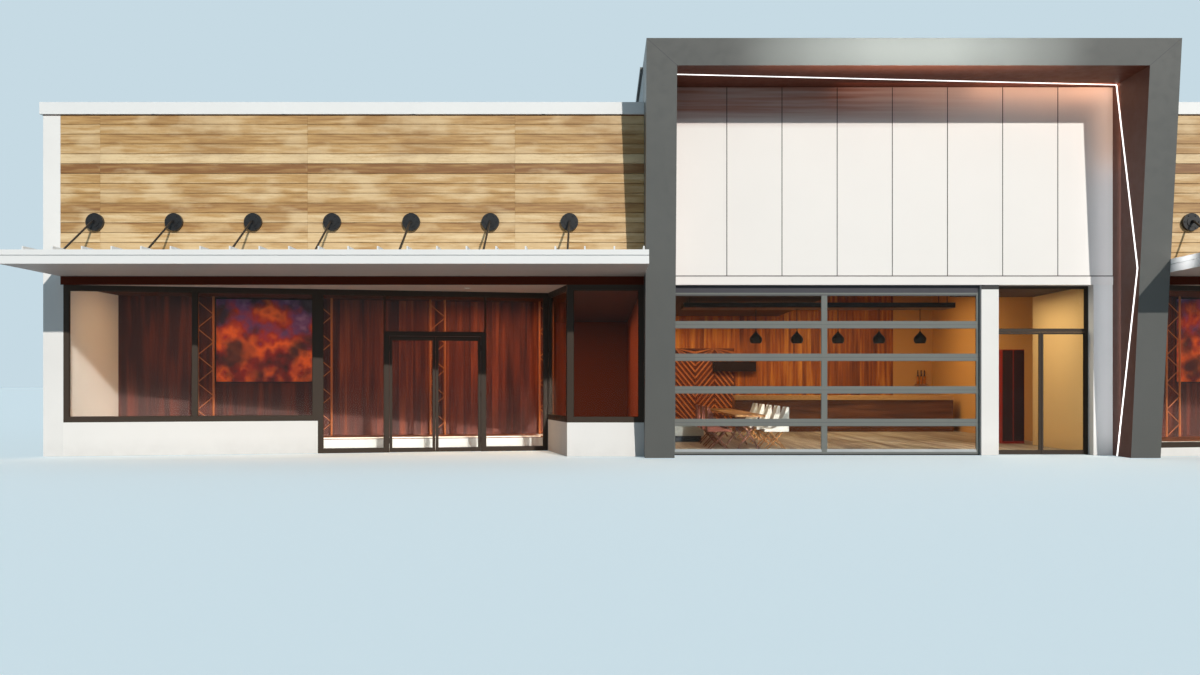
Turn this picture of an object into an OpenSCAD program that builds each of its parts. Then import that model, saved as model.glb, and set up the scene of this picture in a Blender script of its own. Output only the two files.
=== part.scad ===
/* [Overall] */
// Clear width of each shop, from its end wall to the portal
shop_clear_w = 11015; // [10600:5:12500]
// Depth of the building, from the shop facade to the back
shop_d = 13690; // [11000:10:18000]
// Height of the shop walls under their coping
shop_h = 6455; // [5600:5:6800]
// Thickness of the two end walls
end_wall_t = 325; // [200:5:500]
// Thickness of the walls between the shops and the cafe
party_t = 300; // [200:10:400]
// Thickness of the back walls
back_t = 300; // [200:10:400]
// Thickness of the floor slabs
floor_t = 40; // [20:5:80]
// Thickness of the ceilings
ceiling_t = 60; // [30:5:100]
// Thickness of the roof slabs
roof_t = 200; // [120:10:300]
// Depth of each roof below the top of its wall
roof_drop = 450; // [250:10:700]

/* [Shop Coping] */
// Height of the white coping
coping_h = 225; // [120:5:300]
// Overhang of the copings on both sides of a wall
coping_lip = 50; // [20:5:90]

/* [Shop Front] */
// Height of the shop ceiling and of the glazing
clear_h = 3244; // [3000:4:3400]
// Height of the brown band above the glazing
header_h = 160; // [100:5:220]
// Thickness of the wall behind the boards
front_wall_t = 250; // [150:10:350]
// Thickness of the timber boards
cladding_t = 40; // [20:2:60]
// Angle of the splayed shopfront
splay = 12.6; // [10:0.1:14]
// Length of the splayed shopfront
splay_len = 9280; // [9000:10:9400]
// Width of the white nib beside the left shopfront
left_reveal = 55; // [50:1:150]
// Width of the white nib beside the right shopfront
right_reveal = 140; // [50:1:200]
// Height of the left shop's plinths
left_plinth_h = 643; // [300:1:800]
// Height of the right shop's plinths
right_plinth_h = 165; // [100:1:400]
// Thickness of the plinths
plinth_t = 200; // [120:5:220]

/* [Glazing Frames] */
// Depth of the frames
frame_d = 100; // [70:5:120]
// Height of the top and bottom bars and width of the jambs
bar = 95; // [60:1:110]
// Height of the bar at the foot of the entrance frame
sill_bar = 80; // [60:1:110]
// Width of the window mullion
mullion_w = 87; // [50:1:110]
// Width of the post in the deep corner
deep_post = 80; // [60:1:110]
// Width of the post at the corner of the bay
bay_post = 113; // [90:1:140]
// Thickness of the glass
glass_t = 24; // [12:1:32]
// Clearance round the frames and the panes
fit_clear = 0.3; // [0.2:0.05:0.5]
// Open joint between panes without a bar
butt_joint = 8; // [4:1:12]
// Length of the window that stands on the plinth
window_len = 4670; // [4500:10:4900]
// Place of the window mullion along the splay
mullion_at = 2360; // [2000:10:2600]

/* [Shop Doors] */
// Start of the doorway along the splay
shop_door_at = 6060; // [5800:5:6200]
// Width of the shop doorway
shop_door_w = 1840; // [1700:10:1950]
// Width of the door posts
door_post = 95; // [50:1:100]
// Height of the shop doorway
shop_door_h = 2335; // [2100:5:2400]
// Height of the bar over the shop doorway
door_bar = 80; // [60:5:180]

/* [Door Leaves] */
// Thickness of a leaf
leaf_t = 45; // [35:1:60]
// Width of a shop leaf's stiles
stile_w = 45; // [30:1:90]
// Height of a shop leaf's top rail
top_rail = 75; // [40:1:120]
// Width of a cafe leaf's stiles
cafe_stile_w = 30; // [28:1:60]
// Height of a cafe leaf's top rail
cafe_top_rail = 30; // [25:1:90]
// Height of a leaf's bottom rail
bottom_rail = 70; // [50:1:200]
// Clearance between a leaf and its frame
leaf_clear = 6; // [5:0.5:9]
// Clearance between two leaves
meet_clear = 10; // [8:0.5:14]
// Height of a leaf above the ground
leaf_foot = 10; // [5:1:20]
// Radius of the hinge knuckles
knuckle_r = 7.5; // [6:0.5:7.5]
// Radius of the hinge pins
pin_r = 4; // [3:0.25:5]
// Clearance between knuckle and pin
pin_clear = 0.3; // [0.2:0.05:0.6]
// Height of a hinge
hinge_h = 120; // [90:5:160]
// Distance from a doorway's ends to the nearest hinge
hinge_in = 180; // [120:10:300]
// Hinges on each leaf
hinge_count = 3; // [2:1:4]

/* [Shop Canopy] */
// Reach of the canopy in front of the facade
canopy_out = 2310; // [1800:10:2600]
// Height of the canopy's fascia
fascia_h = 135; // [90:5:180]
// Height of the groove above the fascia
groove_h = 15; // [8:1:30]
// Depth of the groove
groove_in = 30; // [10:1:60]
// Height of the strip above the groove
strip_h = 90; // [60:5:130]
// Place of the first standing rib
rib_first = 415; // [0:5:500]
// Spacing of the standing ribs
rib_pitch = 500; // [400:10:700]
// Width of a rib
rib_w = 26; // [16:2:40]
// Height of a rib
rib_h = 58; // [35:1:75]

/* [Canopy Rods] */
// Rods on each canopy
rod_count = 7; // [5:1:7]
// Distance from the nib to the first rod
rod_first = 615; // [615:5:700]
// Spacing of the rods
rod_pitch = 1490; // [1400:10:1500]
// Radius of a rod
rod_r = 19; // [12:1:22]
// Radius of a wall plate
plate_r = 165; // [120:5:200]
// Thickness of a wall plate
plate_t = 80; // [40:5:110]
// Height of the wall plates
plate_z = 4420; // [4200:10:4800]
// Distance from the facade to a rod's foot
rod_reach = 1400; // [1200:10:1700]
// Half the width of a rod's foot
foot_half = 45; // [32:1:60]
// Thickness of a rod's foot
foot_t = 12; // [8:1:20]
// Reach of a fork from its plate to its pin
fork_reach = 60; // [50:1:90]
// Radius of a fork's rounded end
fork_r = 27; // [24:1:34]
// Thickness of a fork's cheek
cheek_t = 8; // [5:1:12]
// Width of the eye between the cheeks
eye_w = 18; // [12:1:26]
// Radius of the pin through a fork
fork_pin_r = 8; // [5:1:12]
// Radius of the raised disc on a wall plate
disc_r = 95; // [60:5:110]
// Thickness of the raised disc
disc_t = 14; // [6:1:24]

/* [Portal] */
// Width of the portal
portal_w = 9550; // [9400:10:10200]
// Width of a portal leg
leg_w = 550; // [400:10:700]
// Height of the portal
portal_h = 7540; // [7200:10:8400]
// Height of the portal beam
beam_h = 475; // [350:5:600]
// Lean of the front face at the ground, in front of the facade
lean_foot = 420; // [200:10:600]
// Lean of the front face at the top, in front of the facade
lean_top = 1220; // [900:10:1600]
// Width of the light strips
light_w = 40; // [20:2:60]
// Thickness of the light strips
light_t = 6; // [3:1:12]
// Height of the cafe's coping
cafe_coping_h = 100; // [60:5:160]

/* [Cafe Front] */
// Distance from the shop facade to the white panels
panel_in = 350; // [300:5:420]
// Thickness of the white panels
panel_t = 30; // [15:1:50]
// Number of white panels
panel_count = 8; // [5:1:12]
// Joint between two panels
panel_joint = 12; // [6:1:20]
// Thickness of the wall behind the panels
cafe_wall_t = 320; // [250:5:400]
// Height of the opening under the white lintel
cafe_open_h = 3270; // [3230:5:3400]
// Height of the white lintel
lintel_h = 160; // [100:5:220]
// How far the lintel stands in front of the panels
lintel_out = 20; // [10:1:40]
// Width of the pier between the overhead door and the entrance
mid_pier_w = 332; // [250:2:400]
// Width of the pier beside the right leg
end_pier_w = 367; // [250:1:450]

/* [Overhead Door] */
// Width of the overhead door
od_w = 5934; // [5600:2:6000]
// Height of the overhead door
od_h = 3140; // [3000:10:3160]
// Number of door sections
od_rows = 5; // [4:1:6]
// Height of the two rails where sections meet
od_rail = 125; // [80:5:160]
// Width of the middle stile
od_mullion = 100; // [60:5:140]
// Place of the middle stile, from the door's left end
od_mullion_at = 2940; // [2600:10:3300]
// Width of the door's end stiles
od_stile = 60; // [40:2:100]
// Thickness of the door
od_t = 50; // [40:1:80]
// Distance from the pier faces to the door
od_in = 100; // [60:5:150]

/* [Cafe Entrance] */
// Distance from the pier faces to the entrance frame
entrance_in = 250; // [200:5:250]
// Width of the entrance jambs
entrance_jamb = 40; // [35:1:90]
// Height of the entrance doorway
cafe_door_h = 2380; // [2100:10:2500]
// Height of the bar over the entrance doorway
transom_bar = 50; // [40:5:120]

/* [Cafe Room] */
// Height of the cafe ceiling
cafe_ceiling_h = 4100; // [3900:10:5000]
// Height of the lowered ceiling on the left
low_ceiling_h = 3430; // [3430:10:3700]
// Right edge of the lowered ceiling, from the building's middle
low_ceiling_x = -200; // [-1000:10:600]
// Depth of the lobby behind the entrance
lobby_d = 2800; // [2000:10:3600]
// Thickness of the lobby's wall
lobby_wall_t = 100; // [60:5:160]
// Thickness of the wall lining
lining_t = 30; // [15:1:60]
// Height of the herringbone panel
herringbone_h = 2450; // [1800:10:2900]
// Width of the herringbone panel
herringbone_w = 2930; // [2000:10:3400]
// Height of the wall shelf
shelf_z = 1750; // [1500:10:2100]

/* [Cafe Counter] */
// Distance from the facade to the counter
counter_in = 10500; // [9500:10:10800]
// Left end of the counter, from the building's middle
counter_x = -1840; // [-2200:10:-1000]
// Length of the counter
counter_l = 6100; // [4000:10:6300]
// Depth of the counter
counter_d = 700; // [500:10:900]
// Height of the counter
counter_h = 1050; // [900:10:1150]
// Thickness of the counter's top
counter_top_t = 125; // [40:5:160]
// Recess of the counter's body under its top
counter_toe = 60; // [20:5:120]
// Width of the cabinet beside the lobby
cabinet_w = 500; // [400:10:700]
// Height of the cabinet
cabinet_h = 2140; // [1800:10:2300]

/* [Cafe Seating] */
// Distance from the facade to the table
table_in = 1300; // [1200:10:1600]
// Length of the table
table_l = 6500; // [5000:10:7000]
// Width of the table
table_w = 600; // [500:10:620]
// Height of the table
table_h = 750; // [700:5:780]
// Thickness of the table top
table_t = 40; // [20:1:60]
// Place of the table's middle from the building's middle
table_x = -2600; // [-2700:10:-2500]
// Trestles under the table
trestle_count = 4; // [3:1:6]
// Chairs on the table's right side
chair_count = 5; // [2:1:5]
// Chairs on the table's left side
left_chair_count = 3; // [1:1:3]
// Spacing of the chairs
chair_pitch = 1180; // [800:10:1300]
// Distance from a chair's middle to the table's middle
chair_off = 580; // [570:10:600]
// Width of a chair
chair_w = 500; // [420:10:520]
// Height of a chair's seat
chair_h = 450; // [430:5:480]
// Height of a chair's back above its seat
chair_back = 450; // [300:10:480]
// Thickness of a chair's tub
chair_t = 24; // [16:1:30]
// Distance from the facade to the bench
bench_in = 4750; // [4700:10:6000]
// Width of the bench, from the cafe's left wall
bench_w = 1250; // [900:10:1300]
// Depth of the bench
bench_d = 700; // [500:10:900]
// Height of the bench
bench_h = 450; // [400:10:500]

/* [Pendant Lamps] */
// Number of lamps
lamp_count = 5; // [3:1:5]
// Spacing of the lamps
lamp_pitch = 1000; // [800:10:1050]
// Place of the first lamp from the building's middle
lamp_first = -1810; // [-2000:10:-1500]
// Distance from the facade to the lamps
lamp_in = 6400; // [5000:50:8000]
// Height of the lamps' lower rims
lamp_z = 2360; // [2200:10:2600]
// Greatest radius of a lamp
lamp_r = 153; // [100:1:200]
// Height of a lamp's shade
lamp_h = 295; // [200:5:340]
// Thickness of a lamp's shade
lamp_wall = 6; // [4:1:8]
// Radius of a lamp's stem
stem_r = 10; // [6:1:12]
// Height of the lamp beam's underside
beam_under = 3200; // [3100:10:3300]
// Thickness of the lamp beam
lamp_beam_t = 120; // [50:5:125]
// Depth of the lamp beam
lamp_beam_d = 1000; // [400:10:1200]
// Overhang of the lamp beam past the left lamp
lamp_beam_left = 1790; // [200:10:1900]
// Overhang of the lamp beam past the right lamp
lamp_beam_right = 710; // [200:10:750]

/* [Shop Displays] */
// Distance from the splayed frame's outer face to the display wall
display_in = 2600; // [2300:10:2900]
// Thickness of the display wall
display_wall_t = 60; // [40:5:100]
// End of the display wall along the splay
display_end = 9900; // [9400:10:9900]
// Start of the display platform behind the frame's outer face
platform_in = 850; // [700:10:1000]
// Height of the display platform
platform_h = 230; // [100:5:300]
// Number of lattice posts
post_count = 4; // [2:1:4]
// Place of the first lattice post along the splay
post_first = 2300; // [1800:10:2300]
// Spacing of the lattice posts
post_pitch = 2460; // [2000:10:2460]
// Width of a lattice post
post_w = 320; // [240:10:400]
// Radius of a lattice post's tubes
post_r = 22; // [15:1:30]
// Radius of the lacing bars
lacing_r = 9; // [6:1:14]
// Rise of each lacing bar
lacing_rise = 290; // [200:10:400]

/* [Hidden] */
$fn = 48;

over = 10;
facade_y = (canopy_out - shop_d - coping_lip) / 2;
portal_half = portal_w / 2;
leg_inner = portal_half - leg_w;
portal_back = panel_in + panel_t + cafe_wall_t;
band_top = clear_h + header_h;
frame_top = clear_h - fit_clear;
front_d = cladding_t + front_wall_t;
room_back = shop_d - back_t;
cafe_wall_h = portal_h - cafe_coping_h;
beam_z = portal_h - beam_h;
lintel_top = cafe_open_h + lintel_h;
return_len = splay_len * tan(splay);
bay_x = splay_len / cos(splay);
canopy_top = band_top + fascia_h + groove_h + strip_h;
od_left = -leg_inner;
od_right = od_left + od_w;
entrance_left = od_right + mid_pier_w;
entrance_right = leg_inner - end_pier_w;
entrance_y = panel_in + entrance_in;
cafe_door_x = entrance_left + entrance_jamb;
cafe_door_w = entrance_right - entrance_left - 2 * entrance_jamb;
hinge_y = -knuckle_r - 0.5;
strap_t = 4;
room_half = portal_half - party_t;
foot_z = floor_t + fit_clear;
shelf_over = 650;
shelf_d = 200;
shelf_h = 300;
strap_len = 28;

wood = "peru";
white = "whitesmoke";
frame_brown = "saddlebrown";
portal_grey = "dimgray";
glass_tint = "lightblue";

// A point of the shopfront's plan: t along the splay, s into the room
function splay_pt(reveal, t, s) =
  [reveal + t * cos(splay) - s * sin(splay), t * sin(splay) + s * cos(splay)];

// Where the line at the distance s behind the splay crosses the width x
function splay_at(reveal, x, s) =
  [x, (x - reveal + s * sin(splay)) * tan(splay) + s * cos(splay)];

// Where the return, moved inwards by off, crosses the depth y
function return_x(reveal, off, y) =
  reveal + bay_x - y * tan(splay) + off / cos(splay);

// The lean of the portal's front face at the height z
function lean_y(z) = -lean_foot - (lean_top - lean_foot) * z / portal_h;

// A block between two corners
module block(x0, x1, y0, y1, z0, z1) {
  translate([x0, y0, z0]) cube([x1 - x0, y1 - y0, z1 - z0]);
}

// An upright prism on a plan outline
module prism(z0, z1, points) {
  translate([0, 0, z0]) linear_extrude(z1 - z0) polygon(points);
}

// An outline in Y and Z, carried along X
module along_x(x0, x1, points) {
  translate([x0, 0, 0]) rotate([90, 0, 90]) linear_extrude(x1 - x0) polygon(points);
}

// An outline in X and Z, carried along Y
module along_y(y0, y1, points) {
  translate([0, y1, 0]) rotate([90, 0, 0]) linear_extrude(y1 - y0) polygon(points);
}

// A round bar between two points in X and Z
module round_bar(a, b, r) {
  translate([a[0], 0, a[1]]) rotate([0, atan2(b[0] - a[0], b[1] - a[1]), 0]) cylinder(r = r, h = norm(b - a));
}

// Places of the three units, with the facade at Y = 0 and each unit's left end at X = 0
module at_left_shop() { translate([-portal_half - shop_clear_w, facade_y, 0]) children(); }
module at_right_shop() { translate([portal_half, facade_y, 0]) children(); }
module at_cafe() { translate([0, facade_y, 0]) children(); }
module at_right_shop_mirrored() {
  at_right_shop() translate([shop_clear_w, 0, 0]) mirror([1, 0, 0]) children();
}

// The splayed shopfront's own frame: X along it, Y into the room
module splayed(reveal) {
  translate([reveal, 0, 0]) rotate([0, 0, splay]) children();
}

// The band of the return and the bay between two offsets from their outer faces
module return_and_bay(reveal, off0, off1, z0, z1) {
  prism(z0, z1, [
    splay_pt(reveal, splay_len + off0, frame_d),
    [return_x(reveal, off0, off0), off0],
    [shop_clear_w, off0],
    [shop_clear_w, off1],
    [return_x(reveal, off1, off1), off1],
    splay_pt(reveal, splay_len + off1, frame_d)
  ]);
}

// Floors, clear of the plinths and of the entrance frame
module shop_floor(reveal) {
  edge = plinth_t + fit_clear;
  sill = frame_d + fit_clear;
  prism(0, floor_t, [
    [0, edge * cos(splay)],
    splay_pt(reveal, 0, edge),
    splay_pt(reveal, window_len + fit_clear, edge),
    splay_pt(reveal, window_len + fit_clear, sill),
    splay_pt(reveal, splay_len + edge, sill),
    [return_x(reveal, edge, edge), edge],
    [shop_clear_w, edge],
    [shop_clear_w, room_back],
    [0, room_back]
  ]);
}

module cafe_floor() {
  block(-room_half, room_half, portal_back, room_back, 0, floor_t);
  block(od_left, od_right, panel_in + od_in + od_t, portal_back, 0, floor_t);
}

module floor_slabs() color("tan") {
  at_left_shop() shop_floor(left_reveal);
  at_cafe() cafe_floor();
  at_right_shop() shop_floor(right_reveal);
}

// The nib fills the wedge between a side wall and the splayed frame
module nib(reveal) {
  prism(0, clear_h, [
    [0, 0],
    [reveal, 0],
    splay_pt(reveal, 0, plinth_t),
    [0, plinth_t * cos(splay)]
  ]);
}

module left_end_wall() color(white) at_left_shop() {
  block(-end_wall_t, 0, 0, shop_d, 0, shop_h);
  nib(left_reveal);
}

module right_end_wall() color(white) at_right_shop()
  block(shop_clear_w, shop_clear_w + end_wall_t, 0, shop_d, 0, shop_h);

module right_nib() color(white) at_right_shop() nib(right_reveal);

module party_wall() block(0, party_t, portal_back, shop_d, 0, cafe_wall_h);

module left_party_wall() color(white) at_cafe() translate([-portal_half, 0, 0]) party_wall();
module right_party_wall() color(white) at_cafe() translate([room_half, 0, 0]) party_wall();

module back_walls() color(white) {
  at_left_shop() block(0, shop_clear_w, room_back, shop_d, 0, shop_h);
  at_cafe() block(-room_half, room_half, room_back, shop_d, 0, cafe_wall_h);
  at_right_shop() block(0, shop_clear_w, room_back, shop_d, 0, shop_h);
}

// Roofs and ceilings
module shop_slab(y0, z, t) block(0, shop_clear_w, y0, room_back, z, z + t);
module cafe_slab(z, t) block(-room_half, room_half, portal_back, room_back, z, z + t);

// The cafe ceiling steps up from its lowered part
module cafe_ceiling() along_y(portal_back, room_back, [
  [-room_half, low_ceiling_h],
  [low_ceiling_x, low_ceiling_h],
  [low_ceiling_x, cafe_ceiling_h],
  [room_half, cafe_ceiling_h],
  [room_half, cafe_ceiling_h + ceiling_t],
  [low_ceiling_x - ceiling_t, cafe_ceiling_h + ceiling_t],
  [low_ceiling_x - ceiling_t, low_ceiling_h + ceiling_t],
  [-room_half, low_ceiling_h + ceiling_t]
]);

module roofs() color("slategray") {
  at_left_shop() shop_slab(front_d, shop_h - roof_drop, roof_t);
  at_cafe() cafe_slab(cafe_wall_h - roof_drop, roof_t);
  at_right_shop() shop_slab(front_d, shop_h - roof_drop, roof_t);
}

module ceilings() color(white) {
  at_left_shop() shop_slab(cladding_t, clear_h, ceiling_t);
  at_cafe() {
    cafe_ceiling();
    block(entrance_left, room_half, portal_back, portal_back + lobby_d, cafe_open_h, cafe_open_h + ceiling_t);
  }
  at_right_shop() shop_slab(cladding_t, clear_h, ceiling_t);
}

// Front walls above the glazing
module shop_front_wall() block(0, shop_clear_w, cladding_t, front_d, band_top, shop_h);
module shop_header() along_x(0, shop_clear_w, [
  [0, clear_h],
  [cladding_t, clear_h],
  [cladding_t, clear_h + ceiling_t],
  [front_d, clear_h + ceiling_t],
  [front_d, band_top],
  [0, band_top]
]);
module cladding() block(0, shop_clear_w, 0, cladding_t, band_top, shop_h);

module shop_front_walls() color(white) {
  at_left_shop() shop_front_wall();
  at_right_shop() shop_front_wall();
}

module shop_headers() color(frame_brown) {
  at_left_shop() shop_header();
  at_right_shop() shop_header();
}

module left_cladding() color(wood) at_left_shop() cladding();
module right_cladding() color(wood) at_right_shop() cladding();

// Copings, each a cap along three walls
module shop_coping() difference() {
  block(-end_wall_t - coping_lip, shop_clear_w, -coping_lip, shop_d + coping_lip, shop_h, shop_h + coping_h);
  block(coping_lip, shop_clear_w + over, front_d + coping_lip, room_back - coping_lip,
    shop_h - over, shop_h + coping_h + over);
}

module left_coping() color(white) at_left_shop() shop_coping();
module right_coping() color(white) at_right_shop_mirrored() shop_coping();

module cafe_coping() color(portal_grey) at_cafe() difference() {
  block(-portal_half - coping_lip, portal_half + coping_lip, portal_back, shop_d + coping_lip,
    cafe_wall_h, portal_h);
  block(-room_half + coping_lip, room_half - coping_lip, portal_back - over,
    room_back - coping_lip, cafe_wall_h - over, portal_h + over);
}

// Plinths
module window_plinth(reveal, h) splayed(reveal) block(0, window_len, 0, plinth_t, 0, h);
module bay_plinth(reveal, h) return_and_bay(reveal, 0, plinth_t, 0, h);

module left_window_plinth() color(white) at_left_shop() window_plinth(left_reveal, left_plinth_h);
module left_bay_plinth() color(white) at_left_shop() bay_plinth(left_reveal, left_plinth_h);
module right_window_plinth() color(white) at_right_shop() window_plinth(right_reveal, right_plinth_h);
module right_bay_plinth() color(white) at_right_shop() bay_plinth(right_reveal, right_plinth_h);

// Glazing frames
module window_frame(reveal, plinth_h) splayed(reveal) difference() {
  block(0, window_len, 0, frame_d, plinth_h, frame_top);
  block(bar, mullion_at - mullion_w / 2, -over, frame_d + over, plinth_h + bar, clear_h - bar);
  block(mullion_at + mullion_w / 2, window_len - bar, -over, frame_d + over, plinth_h + bar, clear_h - bar);
}

module entrance_frame(reveal) splayed(reveal) {
  door_end = shop_door_at + shop_door_w;
  difference() {
    block(window_len, splay_len - fit_clear, 0, frame_d, 0, frame_top);
    block(window_len + bar, splay_len - deep_post, -over, frame_d + over,
      shop_door_h + door_bar, clear_h - bar);
    block(window_len + bar, shop_door_at - door_post, -over, frame_d + over,
      sill_bar, shop_door_h + door_bar + over);
    block(door_end + door_post, splay_len - deep_post, -over, frame_d + over,
      sill_bar, shop_door_h + door_bar + over);
    block(shop_door_at, door_end, -over, frame_d + over, -over, shop_door_h);
  }
  translate([shop_door_at, 0, 0]) frame_hinges(shop_door_w, shop_door_h);
}

module bay_frame(reveal, plinth_h) {
  return_and_bay(reveal, 0, frame_d, plinth_h, plinth_h + bar);
  return_and_bay(reveal, 0, frame_d, clear_h - bar, frame_top);
  splayed(reveal)
    block(splay_len, splay_len + frame_d, -deep_post, frame_d, plinth_h, frame_top);
  prism(plinth_h, frame_top, [
    [reveal + bay_x, 0],
    [reveal + bay_x + bay_post, 0],
    [reveal + bay_x + bay_post, frame_d],
    [return_x(reveal, frame_d, frame_d), frame_d],
    splay_pt(reveal, splay_len + frame_d, bay_post - return_len),
    splay_pt(reveal, splay_len, bay_post - return_len)
  ]);
  block(shop_clear_w - bar, shop_clear_w, 0, frame_d, plinth_h, frame_top);
}

module left_window_frame() color(frame_brown) at_left_shop() window_frame(left_reveal, left_plinth_h);
module left_entrance_frame() color(frame_brown) at_left_shop() entrance_frame(left_reveal);
module left_bay_frame() color(frame_brown) at_left_shop() bay_frame(left_reveal, left_plinth_h);
module right_window_frame() color(frame_brown) at_right_shop() window_frame(right_reveal, right_plinth_h);
module right_entrance_frame() color(frame_brown) at_right_shop() entrance_frame(right_reveal);
module right_bay_frame() color(frame_brown) at_right_shop() bay_frame(right_reveal, right_plinth_h);

// Glass, each pane fitting the opening of its frame
module pane(x0, x1, z0, z1) {
  block(x0 + fit_clear, x1 - fit_clear, (frame_d - glass_t) / 2, (frame_d + glass_t) / 2,
    z0 + fit_clear, z1 - fit_clear);
}

module shop_glass(reveal, plinth_h) {
  door_end = shop_door_at + shop_door_w;
  window_z = plinth_h + bar;
  top = clear_h - bar;
  splayed(reveal) {
    pane(bar, mullion_at - mullion_w / 2, window_z, top);
    pane(mullion_at + mullion_w / 2, window_len - bar, window_z, top);
    pane(window_len + bar, shop_door_at - door_post, sill_bar, top);
    pane(shop_door_at - door_post + butt_joint, door_end + door_post - butt_joint,
      shop_door_h + door_bar, top);
    pane(door_end + door_post, splay_len - deep_post, sill_bar, top);
    translate([splay_len, 0, 0]) rotate([0, 0, -90])
      pane(deep_post, return_len - bay_post, window_z, top);
  }
  pane(reveal + bay_x + bay_post, shop_clear_w - bar, window_z, top);
}

module left_shop_glass() color(glass_tint) at_left_shop() shop_glass(left_reveal, left_plinth_h);
module right_shop_glass() color(glass_tint) at_right_shop() {
  shop_glass(right_reveal, right_plinth_h);
  splayed(right_reveal) translate([shop_door_at, 0, 0]) {
    shop_leaf_glass();
    other_leaf(shop_door_w) shop_leaf_glass();
  }
}

// Door leaves, drawn with the doorway's left jamb at X = 0 and its outer face at Y = 0
function leaf_w(open_w) = (open_w - 2 * leaf_clear - meet_clear) / 2;
function hinge_z(open_h, i) =
  hinge_in + i * (open_h - 2 * hinge_in - hinge_h) / (hinge_count - 1);

module other_leaf(open_w) { translate([open_w, 0, 0]) mirror([1, 0, 0]) children(); }

module at_hinges(open_h) {
  for (i = [0 : hinge_count - 1])
    translate([leaf_clear / 2, hinge_y, hinge_z(open_h, i)]) children();
}

// A strap on a face, with the knuckle of a hinge at its end
module hinge_leaf(dir, h) {
  cylinder(r = knuckle_r, h = h);
  translate([dir < 0 ? -strap_len : 0, -hinge_y - strap_t, 0]) cube([strap_len, strap_t, h]);
}

module frame_hinges_one_side(open_h) at_hinges(open_h) {
  hinge_leaf(-1, hinge_h / 3);
  translate([0, 0, hinge_h * 2 / 3]) hinge_leaf(-1, hinge_h / 3);
  cylinder(r = pin_r, h = hinge_h);
}

module frame_hinges(open_w, open_h) {
  frame_hinges_one_side(open_h);
  other_leaf(open_w) frame_hinges_one_side(open_h);
}

module leaf(open_w, open_h, stile, head) {
  x0 = leaf_clear;
  x1 = leaf_clear + leaf_w(open_w);
  z0 = leaf_foot;
  z1 = open_h - leaf_clear;
  difference() {
    union() {
      difference() {
        block(x0, x1, 0, leaf_t, z0, z1);
        block(x0 + stile, x1 - stile, -over, leaf_t + over, z0 + bottom_rail, z1 - head);
      }
      at_hinges(open_h) translate([0, 0, hinge_h / 3 + pin_clear])
        hinge_leaf(1, hinge_h / 3 - 2 * pin_clear);
    }
    at_hinges(open_h) cylinder(r = pin_r + pin_clear, h = hinge_h);
  }
}

module leaf_glass(open_w, open_h, stile, head) {
  block(leaf_clear + stile, leaf_clear + leaf_w(open_w) - stile,
    (leaf_t - glass_t) / 2, (leaf_t + glass_t) / 2,
    leaf_foot + bottom_rail, open_h - leaf_clear - head);
}

module shop_leaf() leaf(shop_door_w, shop_door_h, stile_w, top_rail);
module shop_leaf_glass() leaf_glass(shop_door_w, shop_door_h, stile_w, top_rail);
module cafe_leaf() leaf(cafe_door_w, cafe_door_h, cafe_stile_w, cafe_top_rail);
module cafe_leaf_glass() leaf_glass(cafe_door_w, cafe_door_h, cafe_stile_w, cafe_top_rail);

module at_shop_doorway() {
  at_left_shop() splayed(left_reveal) translate([shop_door_at, 0, 0]) children();
}
module at_cafe_doorway() { at_cafe() translate([cafe_door_x, entrance_y, 0]) children(); }

module right_shop_doors() color(frame_brown) at_right_shop() splayed(right_reveal)
  translate([shop_door_at, 0, 0]) {
    shop_leaf();
    other_leaf(shop_door_w) shop_leaf();
  }

module shop_door_left() color(frame_brown) at_shop_doorway() shop_leaf();
module shop_door_left_glass() color(glass_tint) at_shop_doorway() shop_leaf_glass();
module shop_door_right() color(frame_brown) at_shop_doorway() other_leaf(shop_door_w) shop_leaf();
module shop_door_right_glass() color(glass_tint) at_shop_doorway()
  other_leaf(shop_door_w) shop_leaf_glass();

module cafe_door_left() color(frame_brown) at_cafe_doorway() cafe_leaf();
module cafe_door_left_glass() color(glass_tint) at_cafe_doorway() cafe_leaf_glass();
module cafe_door_right() color(frame_brown) at_cafe_doorway() other_leaf(cafe_door_w) cafe_leaf();
module cafe_door_right_glass() color(glass_tint) at_cafe_doorway()
  other_leaf(cafe_door_w) cafe_leaf_glass();

// Canopy: a fascia, a groove and a ribbed sheet
module canopy() {
  groove_z = band_top + fascia_h;
  strip_z = groove_z + groove_h;
  block(0, shop_clear_w, -canopy_out, 0, band_top, groove_z);
  block(groove_in, shop_clear_w - groove_in, groove_in - canopy_out, 0, groove_z - over, strip_z + over);
  block(0, shop_clear_w, -canopy_out, 0, strip_z, canopy_top);
  for (x = [rib_first : rib_pitch : shop_clear_w - rib_w])
    block(x, x + rib_w, -canopy_out, 0, canopy_top - over, canopy_top + rib_h);
}

module left_canopy() color(white) at_left_shop() canopy();
module right_canopy() color(white) at_right_shop() canopy();

// A fork that reaches along +Z from its base, with a pin through the rod's eye
module fork(reach) {
  for (side = [-1, 1]) translate([side * (eye_w + cheek_t) / 2 - cheek_t / 2, 0, 0]) {
    translate([0, -fork_r, 0]) cube([cheek_t, 2 * fork_r, reach]);
    translate([0, 0, reach]) rotate([0, 90, 0]) cylinder(r = fork_r, h = cheek_t);
  }
  translate([-eye_w / 2 - 2 * cheek_t, 0, reach]) rotate([0, 90, 0])
    cylinder(r = fork_pin_r, h = eye_w + 4 * cheek_t);
  translate([-eye_w / 2, 0, reach]) rotate([0, 90, 0]) cylinder(r = fork_r - 4, h = eye_w);
}

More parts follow.
